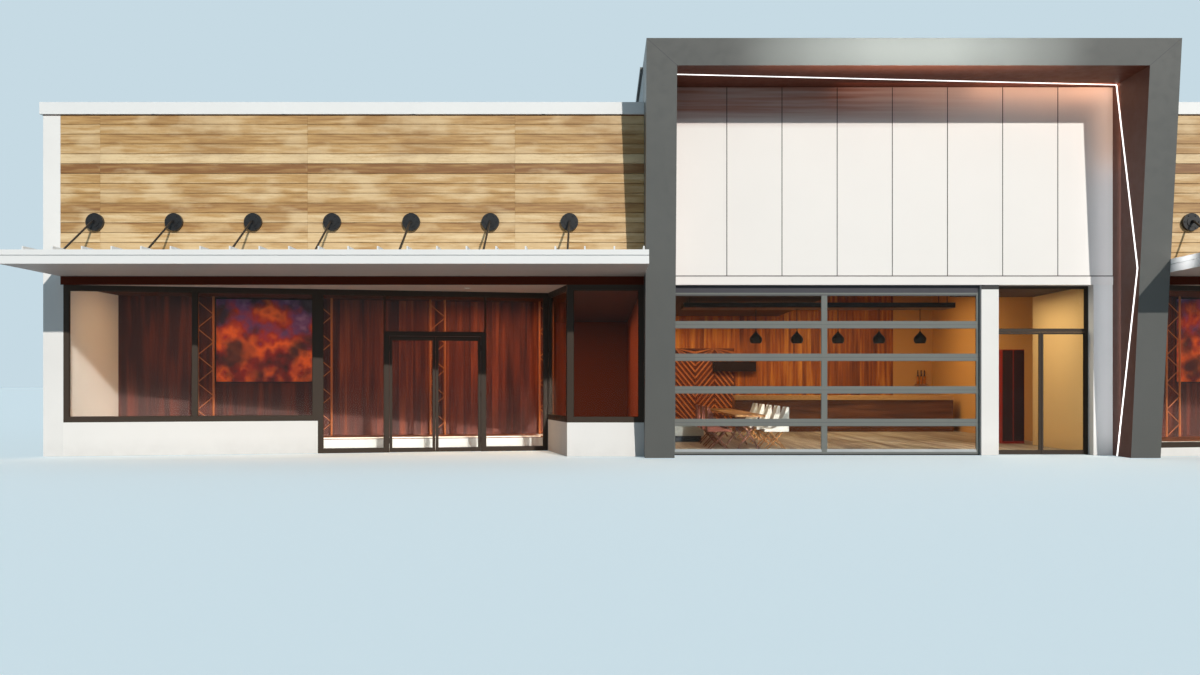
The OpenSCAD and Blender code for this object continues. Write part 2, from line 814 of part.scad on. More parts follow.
// A rod from a round wall plate down to its foot on the canopy
module canopy_rod() {
  pin_y = -plate_t - disc_t - fork_reach;
  pin_z = canopy_top + foot_t + fork_reach;
  drop = plate_z - pin_z;
  run = rod_reach + pin_y;
  translate([0, 0, plate_z]) rotate([90, 0, 0]) {
    cylinder(r = plate_r, h = plate_t);
    cylinder(r = disc_r, h = plate_t + disc_t);
    translate([0, 0, plate_t + disc_t]) fork(fork_reach);
  }
  translate([0, pin_y, plate_z]) rotate([90 + atan2(drop, run), 0, 0])
    cylinder(r = rod_r, h = norm([drop, run]));
  translate([0, -rod_reach, canopy_top]) {
    block(-foot_half, foot_half, -foot_half, foot_half, 0, foot_t);
    translate([0, 0, foot_t]) fork(fork_reach);
  }
}

module canopy_rods(reveal) {
  for (i = [0 : rod_count - 1])
    translate([reveal + rod_first + i * rod_pitch, 0, 0]) canopy_rod();
}

module left_canopy_rods() color("dimgray") at_left_shop() canopy_rods(left_reveal);
module right_canopy_rods() color("dimgray") at_right_shop() canopy_rods(right_reveal);

// Portal: two legs and a beam with mitred corners and a leaning front
module leaning_block() {
  along_x(-portal_half, portal_half, [
    [-lean_foot, 0],
    [portal_back, 0],
    [portal_back, portal_h],
    [-lean_top, portal_h]
  ]);
}

module portal_leg() intersection() {
  leaning_block();
  along_y(-lean_top - over, portal_back + over, [
    [-portal_half, 0],
    [-leg_inner, 0],
    [-leg_inner, beam_z],
    [-portal_half, portal_h]
  ]);
}

module portal_left_leg() color(portal_grey) at_cafe() portal_leg();
module portal_right_leg() color(portal_grey) at_cafe() mirror([1, 0, 0]) portal_leg();

module portal_beam() color(portal_grey) at_cafe() intersection() {
  leaning_block();
  along_y(-lean_top - over, portal_back + over, [
    [-leg_inner, beam_z],
    [leg_inner, beam_z],
    [portal_half, portal_h],
    [-portal_half, portal_h]
  ]);
}

// A point of a strip's edge, moved sideways by off, with mitred corners
function heading(a, b) = (b - a) / norm(b - a);
function side(d) = [-d[1], d[0]];
function mitre(points, i, off) =
  let (
    last = len(points) - 1,
    before = side(heading(points[max(i - 1, 0)], points[max(i, 1)])),
    after = side(heading(points[min(i, last - 1)], points[min(i + 1, last)])),
    m = before + after
  )
  points[i] + m * (2 * off / (m * m));

// A flat ribbon that follows a list of points
module ribbon(points, w) {
  last = len(points) - 1;
  polygon(concat(
    [for (i = [0 : last]) mitre(points, i, w / 2)],
    [for (i = [last : -1 : 0]) mitre(points, i, -w / 2)]
  ));
}

// Light strips on the portal's inner faces, given as depth and height on the legs
left_light = [[-580, 7065], [40, 4200], [-300, 1400], [0, 0]];
right_light = [[180, 7065], [-690, 3490], [-130, 1170], [150, 0]];

module leg_light(points) {
  rotate([90, 0, 90]) linear_extrude(light_t) intersection() {
    ribbon(points, light_w);
    translate([-canopy_out, 0]) square([2 * canopy_out, beam_z - 2 * light_t]);
  }
}

module light_strips() color("white") at_cafe() {
  translate([-leg_inner, 0, 0]) leg_light(left_light);
  translate([leg_inner - light_t, 0, 0]) leg_light(right_light);
  translate([0, 0, beam_z - light_t]) linear_extrude(light_t) intersection() {
    ribbon([[-leg_inner - over, left_light[0][0]], [leg_inner + over, right_light[0][0]]], light_w);
    translate([light_t - leg_inner, -canopy_out])
      square([2 * (leg_inner - light_t), 2 * canopy_out]);
  }
}

// Cafe front
module cafe_front_wall() color(white) at_cafe()
  block(-leg_inner, leg_inner, panel_in + panel_t, portal_back, lintel_top, beam_z);

module cafe_panels() color(white) at_cafe() {
  pitch = (2 * leg_inner + panel_joint) / panel_count;
  for (i = [0 : panel_count - 1])
    translate([-leg_inner + i * pitch, 0, 0])
      block(0, pitch - panel_joint, panel_in, panel_in + panel_t, lintel_top, beam_z - light_t);
}

module cafe_lintel() color(white) at_cafe()
  block(-leg_inner, leg_inner, panel_in - lintel_out, portal_back, cafe_open_h, lintel_top);

module cafe_piers() color(white) at_cafe() {
  block(od_right, entrance_left, panel_in, portal_back, 0, cafe_open_h);
  block(entrance_right, leg_inner, panel_in, portal_back, 0, cafe_open_h);
}

// Overhead door: a grid of rails and stiles under a dark head
od_pitch = od_h / od_rows;
od_cols = [
  [od_left + od_stile, od_left + od_mullion_at - od_mullion / 2],
  [od_left + od_mullion_at + od_mullion / 2, od_right - od_stile]
];

module od_panes(y0, y1) {
  for (row = [0 : od_rows - 1], col = od_cols)
    block(col[0], col[1], y0, y1, row * od_pitch + od_rail / 2, (row + 1) * od_pitch - od_rail / 2);
}

module overhead_door() color(frame_brown) at_cafe() difference() {
  block(od_left, od_right, panel_in + od_in, panel_in + od_in + od_t, 0, cafe_open_h);
  od_panes(panel_in + od_in - over, panel_in + od_in + od_t + over);
}

module overhead_door_glass() color(glass_tint) at_cafe()
  od_panes(panel_in + od_in + (od_t - glass_t) / 2, panel_in + od_in + (od_t + glass_t) / 2);

// Cafe entrance
module cafe_entrance_frame() color(frame_brown) at_cafe() {
  difference() {
    block(entrance_left, entrance_right, entrance_y, entrance_y + frame_d, 0, cafe_open_h);
    block(cafe_door_x, cafe_door_x + cafe_door_w, entrance_y - over, entrance_y + frame_d + over,
      -over, cafe_door_h);
    block(cafe_door_x, cafe_door_x + cafe_door_w, entrance_y - over, entrance_y + frame_d + over,
      cafe_door_h + transom_bar, cafe_open_h - entrance_jamb);
  }
  translate([cafe_door_x, entrance_y, 0]) frame_hinges(cafe_door_w, cafe_door_h);
}

module cafe_entrance_glass() color(glass_tint) at_cafe() translate([0, entrance_y, 0])
  pane(cafe_door_x, cafe_door_x + cafe_door_w, cafe_door_h + transom_bar, cafe_open_h - entrance_jamb);

// Pendant lamps under a flat dark beam, which hangs from the ceiling on four rods
beam_x0 = lamp_first - lamp_beam_left;
beam_x1 = lamp_first + (lamp_count - 1) * lamp_pitch + lamp_beam_right;
function ceiling_at(x) = x < low_ceiling_x ? low_ceiling_h : cafe_ceiling_h;

module lamp_beam() color("darkslategray") at_cafe() translate([0, lamp_in, 0]) {
  half = lamp_beam_d / 2;
  block(beam_x0, beam_x1, -half, half, beam_under, beam_under + lamp_beam_t);
  for (x = [beam_x0 + lamp_r, beam_x1 - lamp_r], y = [lamp_r - half, half - lamp_r])
    translate([x, y, beam_under]) cylinder(r = stem_r, h = ceiling_at(x) - beam_under);
}

// Radius of a shade at the share u of its height: a round belly that draws in to a thin neck
function shade_r(u) = lamp_r * (u < 1 / 3
  ? 0.8 + 0.2 * sin(270 * u)
  : 0.1 + 0.9 * pow(max(0, cos(135 * (u - 1 / 3))), 1.6));

module pendant_lamp() {
  steps = 8;
  translate([0, 0, lamp_z]) rotate_extrude() polygon(concat(
    [for (i = [0 : steps]) [shade_r(i / steps), lamp_h * i / steps]],
    [[0, lamp_h], [0, lamp_h * (steps - 1) / steps]],
    [for (i = [steps - 1 : -1 : 0]) [shade_r(i / steps) - lamp_wall, lamp_h * i / steps]]
  ));
  translate([0, 0, lamp_z + lamp_h - lamp_wall])
    cylinder(r = stem_r, h = beam_under - lamp_z - lamp_h + lamp_wall);
}

module pendant_lamps() color("darkslategray") at_cafe() {
  for (i = [0 : lamp_count - 1])
    translate([lamp_first + i * lamp_pitch, lamp_in, 0]) pendant_lamp();
}

// Lining of the cafe's back wall with its herringbone panel and shelf, and the lobby's wall
module cafe_wall_lining() color(wood) at_cafe() {
  face = room_back - lining_t;
  panel_right = herringbone_w - room_half;
  along_y(face, room_back, [
    [-room_half, floor_t],
    [room_half, floor_t],
    [room_half, cafe_ceiling_h],
    [low_ceiling_x, cafe_ceiling_h],
    [low_ceiling_x, low_ceiling_h],
    [-room_half, low_ceiling_h]
  ]);
  block(-room_half, panel_right, face - lining_t, face, floor_t, herringbone_h);
  block(panel_right - shelf_over, panel_right + shelf_over, face - shelf_d, face, shelf_z, shelf_z + shelf_h);
  lobby_back = portal_back + lobby_d;
  prism(floor_t, cafe_open_h, [
    [entrance_right, portal_back],
    [entrance_right + lobby_wall_t, portal_back],
    [entrance_right + lobby_wall_t, lobby_back - lobby_wall_t],
    [room_half, lobby_back - lobby_wall_t],
    [room_half, lobby_back],
    [entrance_right, lobby_back]
  ]);
}

// Counter with a thick top, and the cabinet beside the lobby
module cafe_counter() color("sienna") at_cafe() {
  top = counter_h - counter_top_t;
  block(counter_x, counter_x + counter_l, counter_in, counter_in + counter_d, top, counter_h);
  block(counter_x, counter_x + counter_l, counter_in + counter_toe, counter_in + counter_d, floor_t, top);
  cabinet_y = portal_back + lobby_d + cabinet_w;
  block(entrance_right - cabinet_w, entrance_right, cabinet_y, cabinet_y + cabinet_w, floor_t, cabinet_h);
}

// Long table on crossed trestles
module table() {
  half = table_w / 2;
  inset = table_w / 8;
  under = table_h - table_t;
  pitch = (table_l - 2 * half) / (trestle_count - 1);
  block(-half, half, 0, table_l, under, table_h);
  for (i = [0 : trestle_count - 1]) translate([0, half + i * pitch, 0]) {
    trestle_bar(inset - half, half - inset, under);
    trestle_bar(half - inset, inset - half, under);
  }
}

// A flat bar in a trestle, cut level at both ends
module trestle_bar(x0, x1, under) {
  thick = table_t / 2;
  along_y(-thick, thick, [[x0 - thick, foot_z], [x0 + thick, foot_z], [x1 + thick, under], [x1 - thick, under]]);
}

// Chair that faces -X: a tub whose arms sweep up to its back, on crossed legs
module chair() {
  half = chair_w / 2;
  seat_under = chair_h - 2 * chair_t;
  leg_r = chair_t / 2;
  leg_y = half - 2 * chair_t;
  difference() {
    along_y(-half, half, concat(
      [[half, seat_under], [-half, seat_under], [-half, chair_h]],
      [for (u = [1 / 4 : 1 / 8 : 1]) [-half + 0.9 * chair_w * u, chair_h + chair_back * pow(u, 3.5)]],
      [[half, chair_h + chair_back]]
    ));
    block(-half - over, half - chair_t, chair_t - half, half - chair_t, chair_h, chair_h + chair_back + over);
  }
  intersection() {
    union() for (end = [-1, 1]) translate([0, end * leg_y, 0]) {
      round_bar([-0.9 * half, 0], [0.7 * half, chair_h], leg_r);
      round_bar([0.9 * half, 0], [-0.7 * half, chair_h], leg_r);
    }
    block(-half, half, -half, half, foot_z, seat_under + leg_r);
  }
  translate([0, leg_y, chair_h / 2]) rotate([90, 0, 0]) cylinder(r = leg_r, h = 2 * leg_y);
}

// Bench with a slab seat on a recessed base
module bench() {
  block(0, bench_w, 0, bench_d, bench_h * 0.4, bench_h);
  block(chair_t, bench_w - 2 * chair_t, 2 * chair_t, bench_d - chair_t, foot_z, bench_h * 0.4);
}

module cafe_seating() color("sandybrown") at_cafe() {
  translate([table_x, table_in, 0]) table();
  for (i = [0 : chair_count - 1])
    translate([table_x + chair_off, table_in + chair_pitch * (i + 0.5), 0]) chair();
  for (i = [0 : left_chair_count - 1])
    translate([table_x - chair_off, table_in + chair_pitch * (i + 0.5), 0]) mirror([1, 0, 0]) chair();
  translate([fit_clear - room_half, bench_in, 0]) bench();
}

// Display platform and display wall behind the splayed front, and the lattice posts between them
module splay_band(reveal, s0, s1, z0, z1) prism(z0, z1, [
  splay_at(reveal, fit_clear, s0),
  splay_pt(reveal, display_end, s0),
  splay_pt(reveal, display_end, s1),
  splay_at(reveal, fit_clear, s1)
]);

module lattice_post() {
  z0 = platform_h + fit_clear;
  half = post_w / 2;
  rise_count = floor((frame_top - z0 - 2 * lacing_r) / lacing_rise);
  for (side = [-1, 1]) translate([side * half, 0, z0]) cylinder(r = post_r, h = frame_top - z0);
  for (i = [0 : rise_count - 1]) {
    side = i % 2 == 0 ? 1 : -1;
    z = z0 + lacing_r + i * lacing_rise;
    round_bar([-side * half, z + lacing_r], [side * half, z + lacing_rise - lacing_r], lacing_r);
  }
}

module shop_display_wall(reveal) {
  splay_band(reveal, display_in, display_in + display_wall_t, foot_z, frame_top);
  splayed(reveal) for (i = [0 : post_count - 1])
    translate([post_first + i * post_pitch, display_in - post_w / 2, 0]) lattice_post();
}

module display_platforms() color(white) {
  at_left_shop() splay_band(left_reveal, platform_in, display_in - fit_clear, foot_z, platform_h);
  at_right_shop() splay_band(right_reveal, platform_in, display_in - fit_clear, foot_z, platform_h);
}

module display_walls() color("sienna") {
  at_left_shop() shop_display_wall(left_reveal);
  at_right_shop() shop_display_wall(right_reveal);
}

floor_slabs();
left_end_wall();
right_end_wall();
left_party_wall();
right_party_wall();
back_walls();
roofs();
ceilings();
shop_front_walls();
left_cladding();
right_cladding();
shop_headers();
left_coping();
right_coping();
cafe_coping();
left_window_plinth();
left_bay_plinth();
right_window_plinth();
right_bay_plinth();
right_nib();
left_window_frame();
left_entrance_frame();
left_bay_frame();
right_window_frame();
right_entrance_frame();
right_bay_frame();
left_shop_glass();
right_shop_glass();
right_shop_doors();
left_canopy();
right_canopy();
left_canopy_rods();
right_canopy_rods();
portal_left_leg();
portal_right_leg();
portal_beam();
light_strips();
cafe_front_wall();
cafe_panels();
cafe_lintel();
cafe_piers();
overhead_door();
overhead_door_glass();
cafe_entrance_frame();
cafe_entrance_glass();
lamp_beam();
pendant_lamps();
cafe_wall_lining();
cafe_counter();
cafe_seating();
display_platforms();
display_walls();
shop_door_left();
shop_door_left_glass();
shop_door_right();
shop_door_right_glass();
cafe_door_left();
cafe_door_left_glass();
cafe_door_right();
cafe_door_right_glass();
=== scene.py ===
# %% [markdown]
# # Dressing a retail row in Blender
# The construction model gives every wall, frame, pane, canopy and door of this building at its true size.
# This lesson adds what a builder would fix to them: timber boards, glazing beads, bolts, joint covers, lamps
# and linings, and it gives each surface its finish. Every length is in metres, in the building's own frame:
# X runs along the row, Y from the front to the back, and Z up.

# %% Load the building
import math

import bpy
import numpy as np
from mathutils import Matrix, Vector


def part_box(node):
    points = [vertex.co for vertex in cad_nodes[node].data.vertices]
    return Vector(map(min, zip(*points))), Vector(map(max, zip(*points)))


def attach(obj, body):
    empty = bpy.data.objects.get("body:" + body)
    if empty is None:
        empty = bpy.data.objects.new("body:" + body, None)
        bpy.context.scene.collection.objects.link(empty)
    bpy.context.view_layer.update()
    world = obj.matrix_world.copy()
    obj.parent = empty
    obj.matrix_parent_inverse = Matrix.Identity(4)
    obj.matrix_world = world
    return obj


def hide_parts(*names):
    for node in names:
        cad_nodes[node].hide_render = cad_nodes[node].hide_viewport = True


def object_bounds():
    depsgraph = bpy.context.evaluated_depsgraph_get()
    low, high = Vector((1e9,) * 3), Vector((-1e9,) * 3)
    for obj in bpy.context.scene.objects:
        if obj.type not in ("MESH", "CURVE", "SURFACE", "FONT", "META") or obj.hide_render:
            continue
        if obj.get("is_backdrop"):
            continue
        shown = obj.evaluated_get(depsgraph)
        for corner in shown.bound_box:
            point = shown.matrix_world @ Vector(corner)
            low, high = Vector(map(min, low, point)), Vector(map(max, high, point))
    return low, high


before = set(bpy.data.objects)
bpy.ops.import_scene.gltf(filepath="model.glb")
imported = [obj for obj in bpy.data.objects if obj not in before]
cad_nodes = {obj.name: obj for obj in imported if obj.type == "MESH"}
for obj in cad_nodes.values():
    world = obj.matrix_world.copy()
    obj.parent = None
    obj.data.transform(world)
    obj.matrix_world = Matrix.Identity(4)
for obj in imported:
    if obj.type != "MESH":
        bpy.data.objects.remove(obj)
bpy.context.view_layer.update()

# %% [markdown]
# The camera comes first. It stands well in front of the row, with the horizon below the middle of the frame. A
# level camera keeps the walls upright, so the picture is moved with the lens shift, as is usual for pictures of
# buildings, and not by tilting.

# %% Place the camera
def new_object(name, data):
    """Puts data into the scene as an object at the origin."""
    made = bpy.data.objects.new(name, data)
    bpy.context.scene.collection.objects.link(made)
    return made


picture_w, picture_h, horizon_row = 1200, 675, 384
camera_data = bpy.data.cameras.new("front_camera")
camera_data.lens, camera_data.sensor_width, camera_data.clip_end = 35, 36, 600
camera_data.shift_y = (horizon_row - picture_h / 2) / picture_w
camera = new_object("front_camera", camera_data)
camera.location = (-5.605, -27.735, 1.37)
camera.rotation_euler = (math.pi / 2, 0, 0)
bpy.context.scene.camera = camera
bpy.context.scene.view_settings.view_transform = "Standard"
print("camera at", [round(v, 3) for v in camera.location], "shift", round(camera_data.shift_y, 4))

# %% [markdown]
# Colours are easiest to judge as the 0 to 255 values that a screen shows, but a shader works with light, where
# twice the number is twice the light. This helper turns one into the other with the usual screen curve.

# %% Turn screen colours into light
def screen(red, green, blue):
    """Screen values as linear light: v / 12.92 up to 0.04045, and ((v + 0.055) / 1.055) ** 2.4 above."""
    v = np.array([red, green, blue]) / 255
    return tuple(np.where(v <= 0.04045, v / 12.92, ((v + 0.055) / 1.055) ** 2.4)) + (1.0,)


def dimmed(colour, share):
    """The same colour with a share of its light."""
    return tuple(share * c for c in colour[:3]) + (1.0,)


print("middle grey", [round(float(c), 3) for c in screen(119, 119, 119)[:3]])

# %% [markdown]
# A finish is a small network of nodes. Most networks here are a few lines long, because one helper adds a node,
# sets it and wires it at the same time. A number goes onto a socket and an output of another node is linked.
# The plainest finish is a lamp's milky cover, which needs a single shader.

# %% Add a node in one line
def add(tree, kind, values=None, **settings):
    """Adds a node of a kind, with its settings, and gives its sockets numbers or other nodes' outputs."""
    made = tree.nodes.new("ShaderNode" + kind)
    for name, value in settings.items():
        setattr(made, name, value)
    for socket, value in (values or {}).items():
        if isinstance(value, bpy.types.NodeSocket):
            tree.links.new(value, made.inputs[socket])
        else:
            made.inputs[socket].default_value = value
    return made


finishes = {}


def new_finish(name):
    """Starts an empty finish, keeps it by its name and returns its node tree."""
    finish = finishes[name] = bpy.data.materials.new(name)
    finish.use_nodes = True
    finish.node_tree.nodes.clear()
    return finish.node_tree


def show(tree, shader):
    """Wires a shader to the surface of the finish."""
    add(tree, "OutputMaterial", {"Surface": shader.outputs[0]})


def coat(tree, colour, roughness, **others):
    """Shows the everyday shader. Its other sockets are named with _ for a space."""
    values = {name.replace("_", " "): value for name, value in others.items()}
    show(tree, add(tree, "BsdfPrincipled", {"Base Color": colour, "Roughness": roughness, **values}))


def opal(name, colour, strength):
    """A lit diffuser: a milky surface that gives off light of its own."""
    coat(new_finish(name), colour, 0.4, Emission_Color=colour, Emission_Strength=strength)


opal("light_strip", (1.0, 0.99, 0.97, 1.0), 1.8)
opal("opal_edge", screen(250, 238, 218), 0.5)
opal("warm_bulb", (1.0, 0.78, 0.5, 1.0), 8.0)
print("lit finishes", len(finishes))

# %% [markdown]
# Real surfaces vary from place to place. Patterns here are read at each point's own place on the object, so
# they stay put when a door swings. Clouds of noise are stretched, mixed and cut to a range, and the same values
# can colour a surface, roughen it or raise a fine relief.

# %% Patterns on a surface
def own_place(tree):
    """The place of a point on the object's own coordinates."""
    return add(tree, "TexCoord").outputs["Object"]


def axes(tree, place=None):
    """The x, y and z of a place."""
    return add(tree, "SeparateXYZ", {0: place or own_place(tree)}).outputs


def calc(tree, operation, *values):
    """One sum on values, such as MULTIPLY or GREATER_THAN."""
    return add(tree, "Math", dict(enumerate(values)), operation=operation).outputs[0]


def cloud(tree, scale, stretch=(1, 1, 1), detail=4.0, place=None):
    """Cloudy values from 0 to 1, stretched along an axis where its number is small."""
    place = add(tree, "Mapping", {"Vector": place or own_place(tree), "Scale": stretch}).outputs[0]
    return add(tree, "TexNoise", {"Vector": place, "Scale": scale, "Detail": detail}).outputs[0]


def blend(tree, share, first, second):
    """Mixes two colours by a share from 0 to 1."""
    return add(tree, "MixRGB", {0: share, 1: first, 2: second}).outputs[0]


def spread(tree, value, low, high, to_low=0.0, to_high=1.0):
    """Carries a value from one range to another and stops at the range's ends."""
    names = "Value", "From Min", "From Max", "To Min", "To Max"
    return add(tree, "MapRange", dict(zip(names, (value, low, high, to_low, to_high)))).outputs[0]


def ramp(tree, value, stops):
    """A colour for each value, from a row of (value, colour) stops."""
    made = add(tree, "ValToRGB", {0: value})
    for spot, _ in stops[1:-1]:
        made.color_ramp.elements.new(spot)
    for stop, (spot, colour) in zip(made.color_ramp.elements, stops):
        stop.position, stop.color = spot, colour
    return made.outputs[0]


def bumps(tree, height, strength, depth=0.0015):
    """Small relief from a height value: depth is its real size in metres."""
    return add(tree, "Bump", {"Height": height, "Strength": strength, "Distance": depth}).outputs[0]


def sprayed(tree):
    """The fine orange-peel relief of sprayed paint, 0.6 mm deep."""
    return bumps(tree, cloud(tree, 420.0, detail=1.0), 0.12, 0.0006)


print("patterns:", ", ".join(pattern.__name__ for pattern in (cloud, blend, spread, ramp, bumps, sprayed)))

# %% [markdown]
# Rendered and painted walls look flat from far away, but they carry a fine grain, soft clouds of tone where the
# paint dried unevenly, and a little splash dirt at their foot. Indoors the same paint has hardly any grain, and
# walls that rise above the roof are white up there.

# %% Painted render
splash_top, splash_dirt, roof_white = 0.35, screen(120, 116, 108), screen(230, 230, 228)


def painted_render(name, colour, grain=0.03, white_from=None):
    """Paint on render: 6 per cent darker in soft clouds, dirty up to splash_top, and white above white_from."""
    tree, colour = new_finish(name), screen(*colour)
    clouds = spread(tree, cloud(tree, 0.7, detail=6.0), 0.35, 0.75, 0.0, 0.6)
    paint = blend(tree, clouds, colour, dimmed(colour, 0.9))
    height = axes(tree)[2]
    if white_from:
        paint = blend(tree, calc(tree, "GREATER_THAN", height, white_from), paint, roof_white)
    splash = spread(tree, height, 0.0, splash_top, 0.22, 0.0)
    paint = blend(tree, calc(tree, "MULTIPLY", splash, cloud(tree, 5.0)), paint, splash_dirt)
    coat(tree, paint, 0.72, Normal=bumps(tree, cloud(tree, 260.0, detail=2.0), grain))


roof_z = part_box("roofs")[0].z
painted_render("white_render", (238, 238, 237), 0.2)
painted_render("dark_ceiling", (58, 30, 20))
painted_render("lobby_paint", (240, 196, 130))
painted_render("side_paint", (245, 240, 234))
painted_render("back_paint", (150, 66, 26), white_from=roof_z)
painted_render("tan_paint", (204, 144, 72), white_from=roof_z)
print("finishes so far", len(finishes))

# %% [markdown]
# Powder coating is smooth, with a fine orange-peel surface that breaks up its reflections. The same finish serves
# the white metal, the grey portal and the dark frames, with its own colour, roughness and depth of cloudiness.
# The lacquered and moulded things behind the glass share it.

# %% Powder coating
def powder_coat(name, colour, roughness, clouds=0.12, gloss=0.45):
    """Coated metal: the colour with faint clouds, a fine peel relief and a roughness that varies a little."""
    tree, colour = new_finish(name), screen(*colour)
    paint = blend(tree, cloud(tree, 0.9), colour, dimmed(colour, 1 - clouds))
    worn = spread(tree, cloud(tree, 7.0), 0.3, 0.7, roughness - 0.05, roughness + 0.07)
    coat(tree, paint, worn, Normal=sprayed(tree), Specular_IOR_Level=gloss)


coats = {
    "white_metal": ((236, 238, 239), 0.42, 0.05),
    "portal_metal": ((90, 91, 89), 0.38, 0.14),
    "reveal_metal": ((110, 74, 64), 0.5, 0.15, 0.2),
    "soffit_metal": ((104, 54, 38), 0.5, 0.15, 0.2),
    "frame_metal": ((64, 54, 46), 0.4, 0.12, 0.15),
    "header_metal": ((84, 30, 12), 0.5, 0.2, 0.1),
    # The canopies' undersides: a darker, browner copy of the white metal, which is painted shade.
    "under_metal": ((214, 200, 194), 0.5, 0.06, 0.2),
    "door_metal": ((112, 116, 113), 0.36, 0.1, 0.3),
    "sill_metal": ((150, 158, 162), 0.4, 0.08),
    "head_metal": ((66, 66, 74), 0.45, 0.12, 0.2),
    "black_metal": ((34, 34, 36), 0.35, 0.15, 0.3),
    "shelf_metal": ((40, 24, 18), 0.5, 0.12, 0.2),
    "lattice_metal": ((178, 102, 50), 0.4),
    "white_panel": ((238, 236, 234), 0.48, 0.05),
    "rubber": ((24, 24, 25), 0.7, 0.1),
    "cabinet_paint": ((170, 36, 14), 0.4, 0.12, 0.2),
    "cabinet_front": ((46, 14, 10), 0.35, 0.12, 0.2),
    "seat_plastic": ((236, 233, 226), 0.45),
    "dark_tub": ((112, 58, 42), 0.5, 0.12, 0.2),
    "bench_cover": ((148, 156, 156), 0.7),
    "bench_base": ((40, 48, 58), 0.6, 0.12, 0.2),
    "bottle_amber": ((196, 112, 40), 0.25),
}
for name, values in coats.items():
    powder_coat(name, *values)
print("coated finishes", len(coats))

# %% [markdown]
# Clear glazing is a clear shader with a faint cool tint. Light that only passes on its way to a lamp is let
# straight through, or the rooms behind the panes would stay black.

# %% Clear glazing
def glazing(name, tint):
    """Clear glass for the eye and plain air for shadows, mixed by whether a ray looks for a lamp."""
    tree = new_finish(name)
    glass = add(tree, "BsdfPrincipled", {"Base Color": tint, "Roughness": 0.0, "IOR": 1.15, "Transmission Weight": 1.0})
    air = add(tree, "BsdfTransparent", {"Color": (1.0, 1.0, 1.0, 1.0)})
    to_lamp = add(tree, "LightPath").outputs["Is Shadow Ray"]
    show(tree, add(tree, "MixShader", {0: to_lamp, 1: glass.outputs[0], 2: air.outputs[0]}))


glazing("clear_glass", screen(238, 242, 242))
print("finishes so far", len(finishes))

# %% [markdown]
# Timber has streaks that run along the board, fine pores, and a tone of its own on each board. Pieces made of
# separate boards carry that tone as a number on their faces. A floor is one solid, so there the tone is a
# random number for each plank's place. The tone also moves the pattern along, and no two boards share a streak.

# %% Timber
across, deep, upward = np.eye(3)
stretch_along, tone_steps = 0.07, (37.0, 19.0, 53.0)


def board_tone(tree, place, tone):
    """A board's own tone: a number, one for each plank of an (axis, width), or the number on its faces."""
    if isinstance(tone, tuple):
        plank = calc(tree, "FLOOR", calc(tree, "DIVIDE", axes(tree, place)[tone[0]], tone[1]))
        return add(tree, "TexWhiteNoise", {"W": plank}, noise_dimensions="1D").outputs["Value"]
    if tone is None:
        return add(tree, "Attribute", attribute_name="tone").outputs["Fac"]
    fixed = add(tree, "Value").outputs[0]
    fixed.default_value = tone
    return fixed


def timber(name, colours, along=across, roughness=0.55, size=1.0, grain=0.05, tone=None, tile=None,
           streaky=0.5, bleached=0.0):
    """Boards from a dark over a middle to a light colour, with streaks along one axis and ten times finer pores.

    streaky is the share of the streaks in the colour, and the boards' own tone has the rest.
    tile is (start, length) along X, where the pattern begins anew, as it does on boards that come in panels.
    bleached is how far sun has turned wide patches light, and rain others, half as far, to dark.
    """
    tree = new_finish(name)
    place = own_place(tree)
    dark, middle, light = (screen(*colour) for colour in colours)
    if tile:
        x, y, z = axes(tree, place)
        past = calc(tree, "FLOORED_MODULO", calc(tree, "SUBTRACT", x, tile[0]), tile[1])
        place = add(tree, "CombineXYZ", {0: past, 1: y, 2: z}).outputs[0]
    shade = board_tone(tree, place, tone)
    steps = {axis: calc(tree, "MULTIPLY", shade, step) for axis, step in enumerate(tone_steps)}
    far = add(tree, "CombineXYZ", steps).outputs[0]
    moved = add(tree, "VectorMath", {0: place, 1: far}, operation="ADD").outputs[0]
    stretch = tuple(stretch_along if a else 1.0 for a in along)
    streaks = cloud(tree, 9.0 * size, stretch, 7.0, moved)
    pores = cloud(tree, 90.0 * size, stretch, 3.0, moved)
    mixed = calc(tree, "MULTIPLY", spread(tree, streaks, 0.32, 0.68), streaky)
    mixed = calc(tree, "MULTIPLY_ADD", shade, 1 - streaky, mixed)
    paint = ramp(tree, mixed, ((0.15, dark), (0.5, middle), (0.85, light)))
    paint = blend(tree, spread(tree, pores, 0.52, 0.72, 0.0, 0.35), paint, dark)
    if bleached:
        for amount, patch_scale, tint in ((0.55 * bleached, 1.1, dark), (bleached, 1.5, light)):
            patches = cloud(tree, patch_scale, (0.7, 1.0, 1.8), 7.0, place)
            paint = blend(tree, spread(tree, patches, 0.5, 0.64, 0.0, amount), paint, tint)
    coat(tree, paint, roughness, Normal=bumps(tree, pores, grain))


seam_pitch, first_seam = 3.915, {"left": -15.04, "right": 6.9}
for side, seam in first_seam.items():
    timber(side + "_board_timber", ((132, 89, 46), (189, 150, 95), (228, 203, 160)), size=2.2, grain=0.3,
           tile=(seam, seam_pitch), streaky=0.36, bleached=0.55)
print("outdoor boards with a seam every", seam_pitch, "m")

# %% [markdown]
# Indoors the same function gives every other timber, from the red-brown lining to the pale table top. Only the
# three colours, the direction of the boards and the fineness of the grain change.

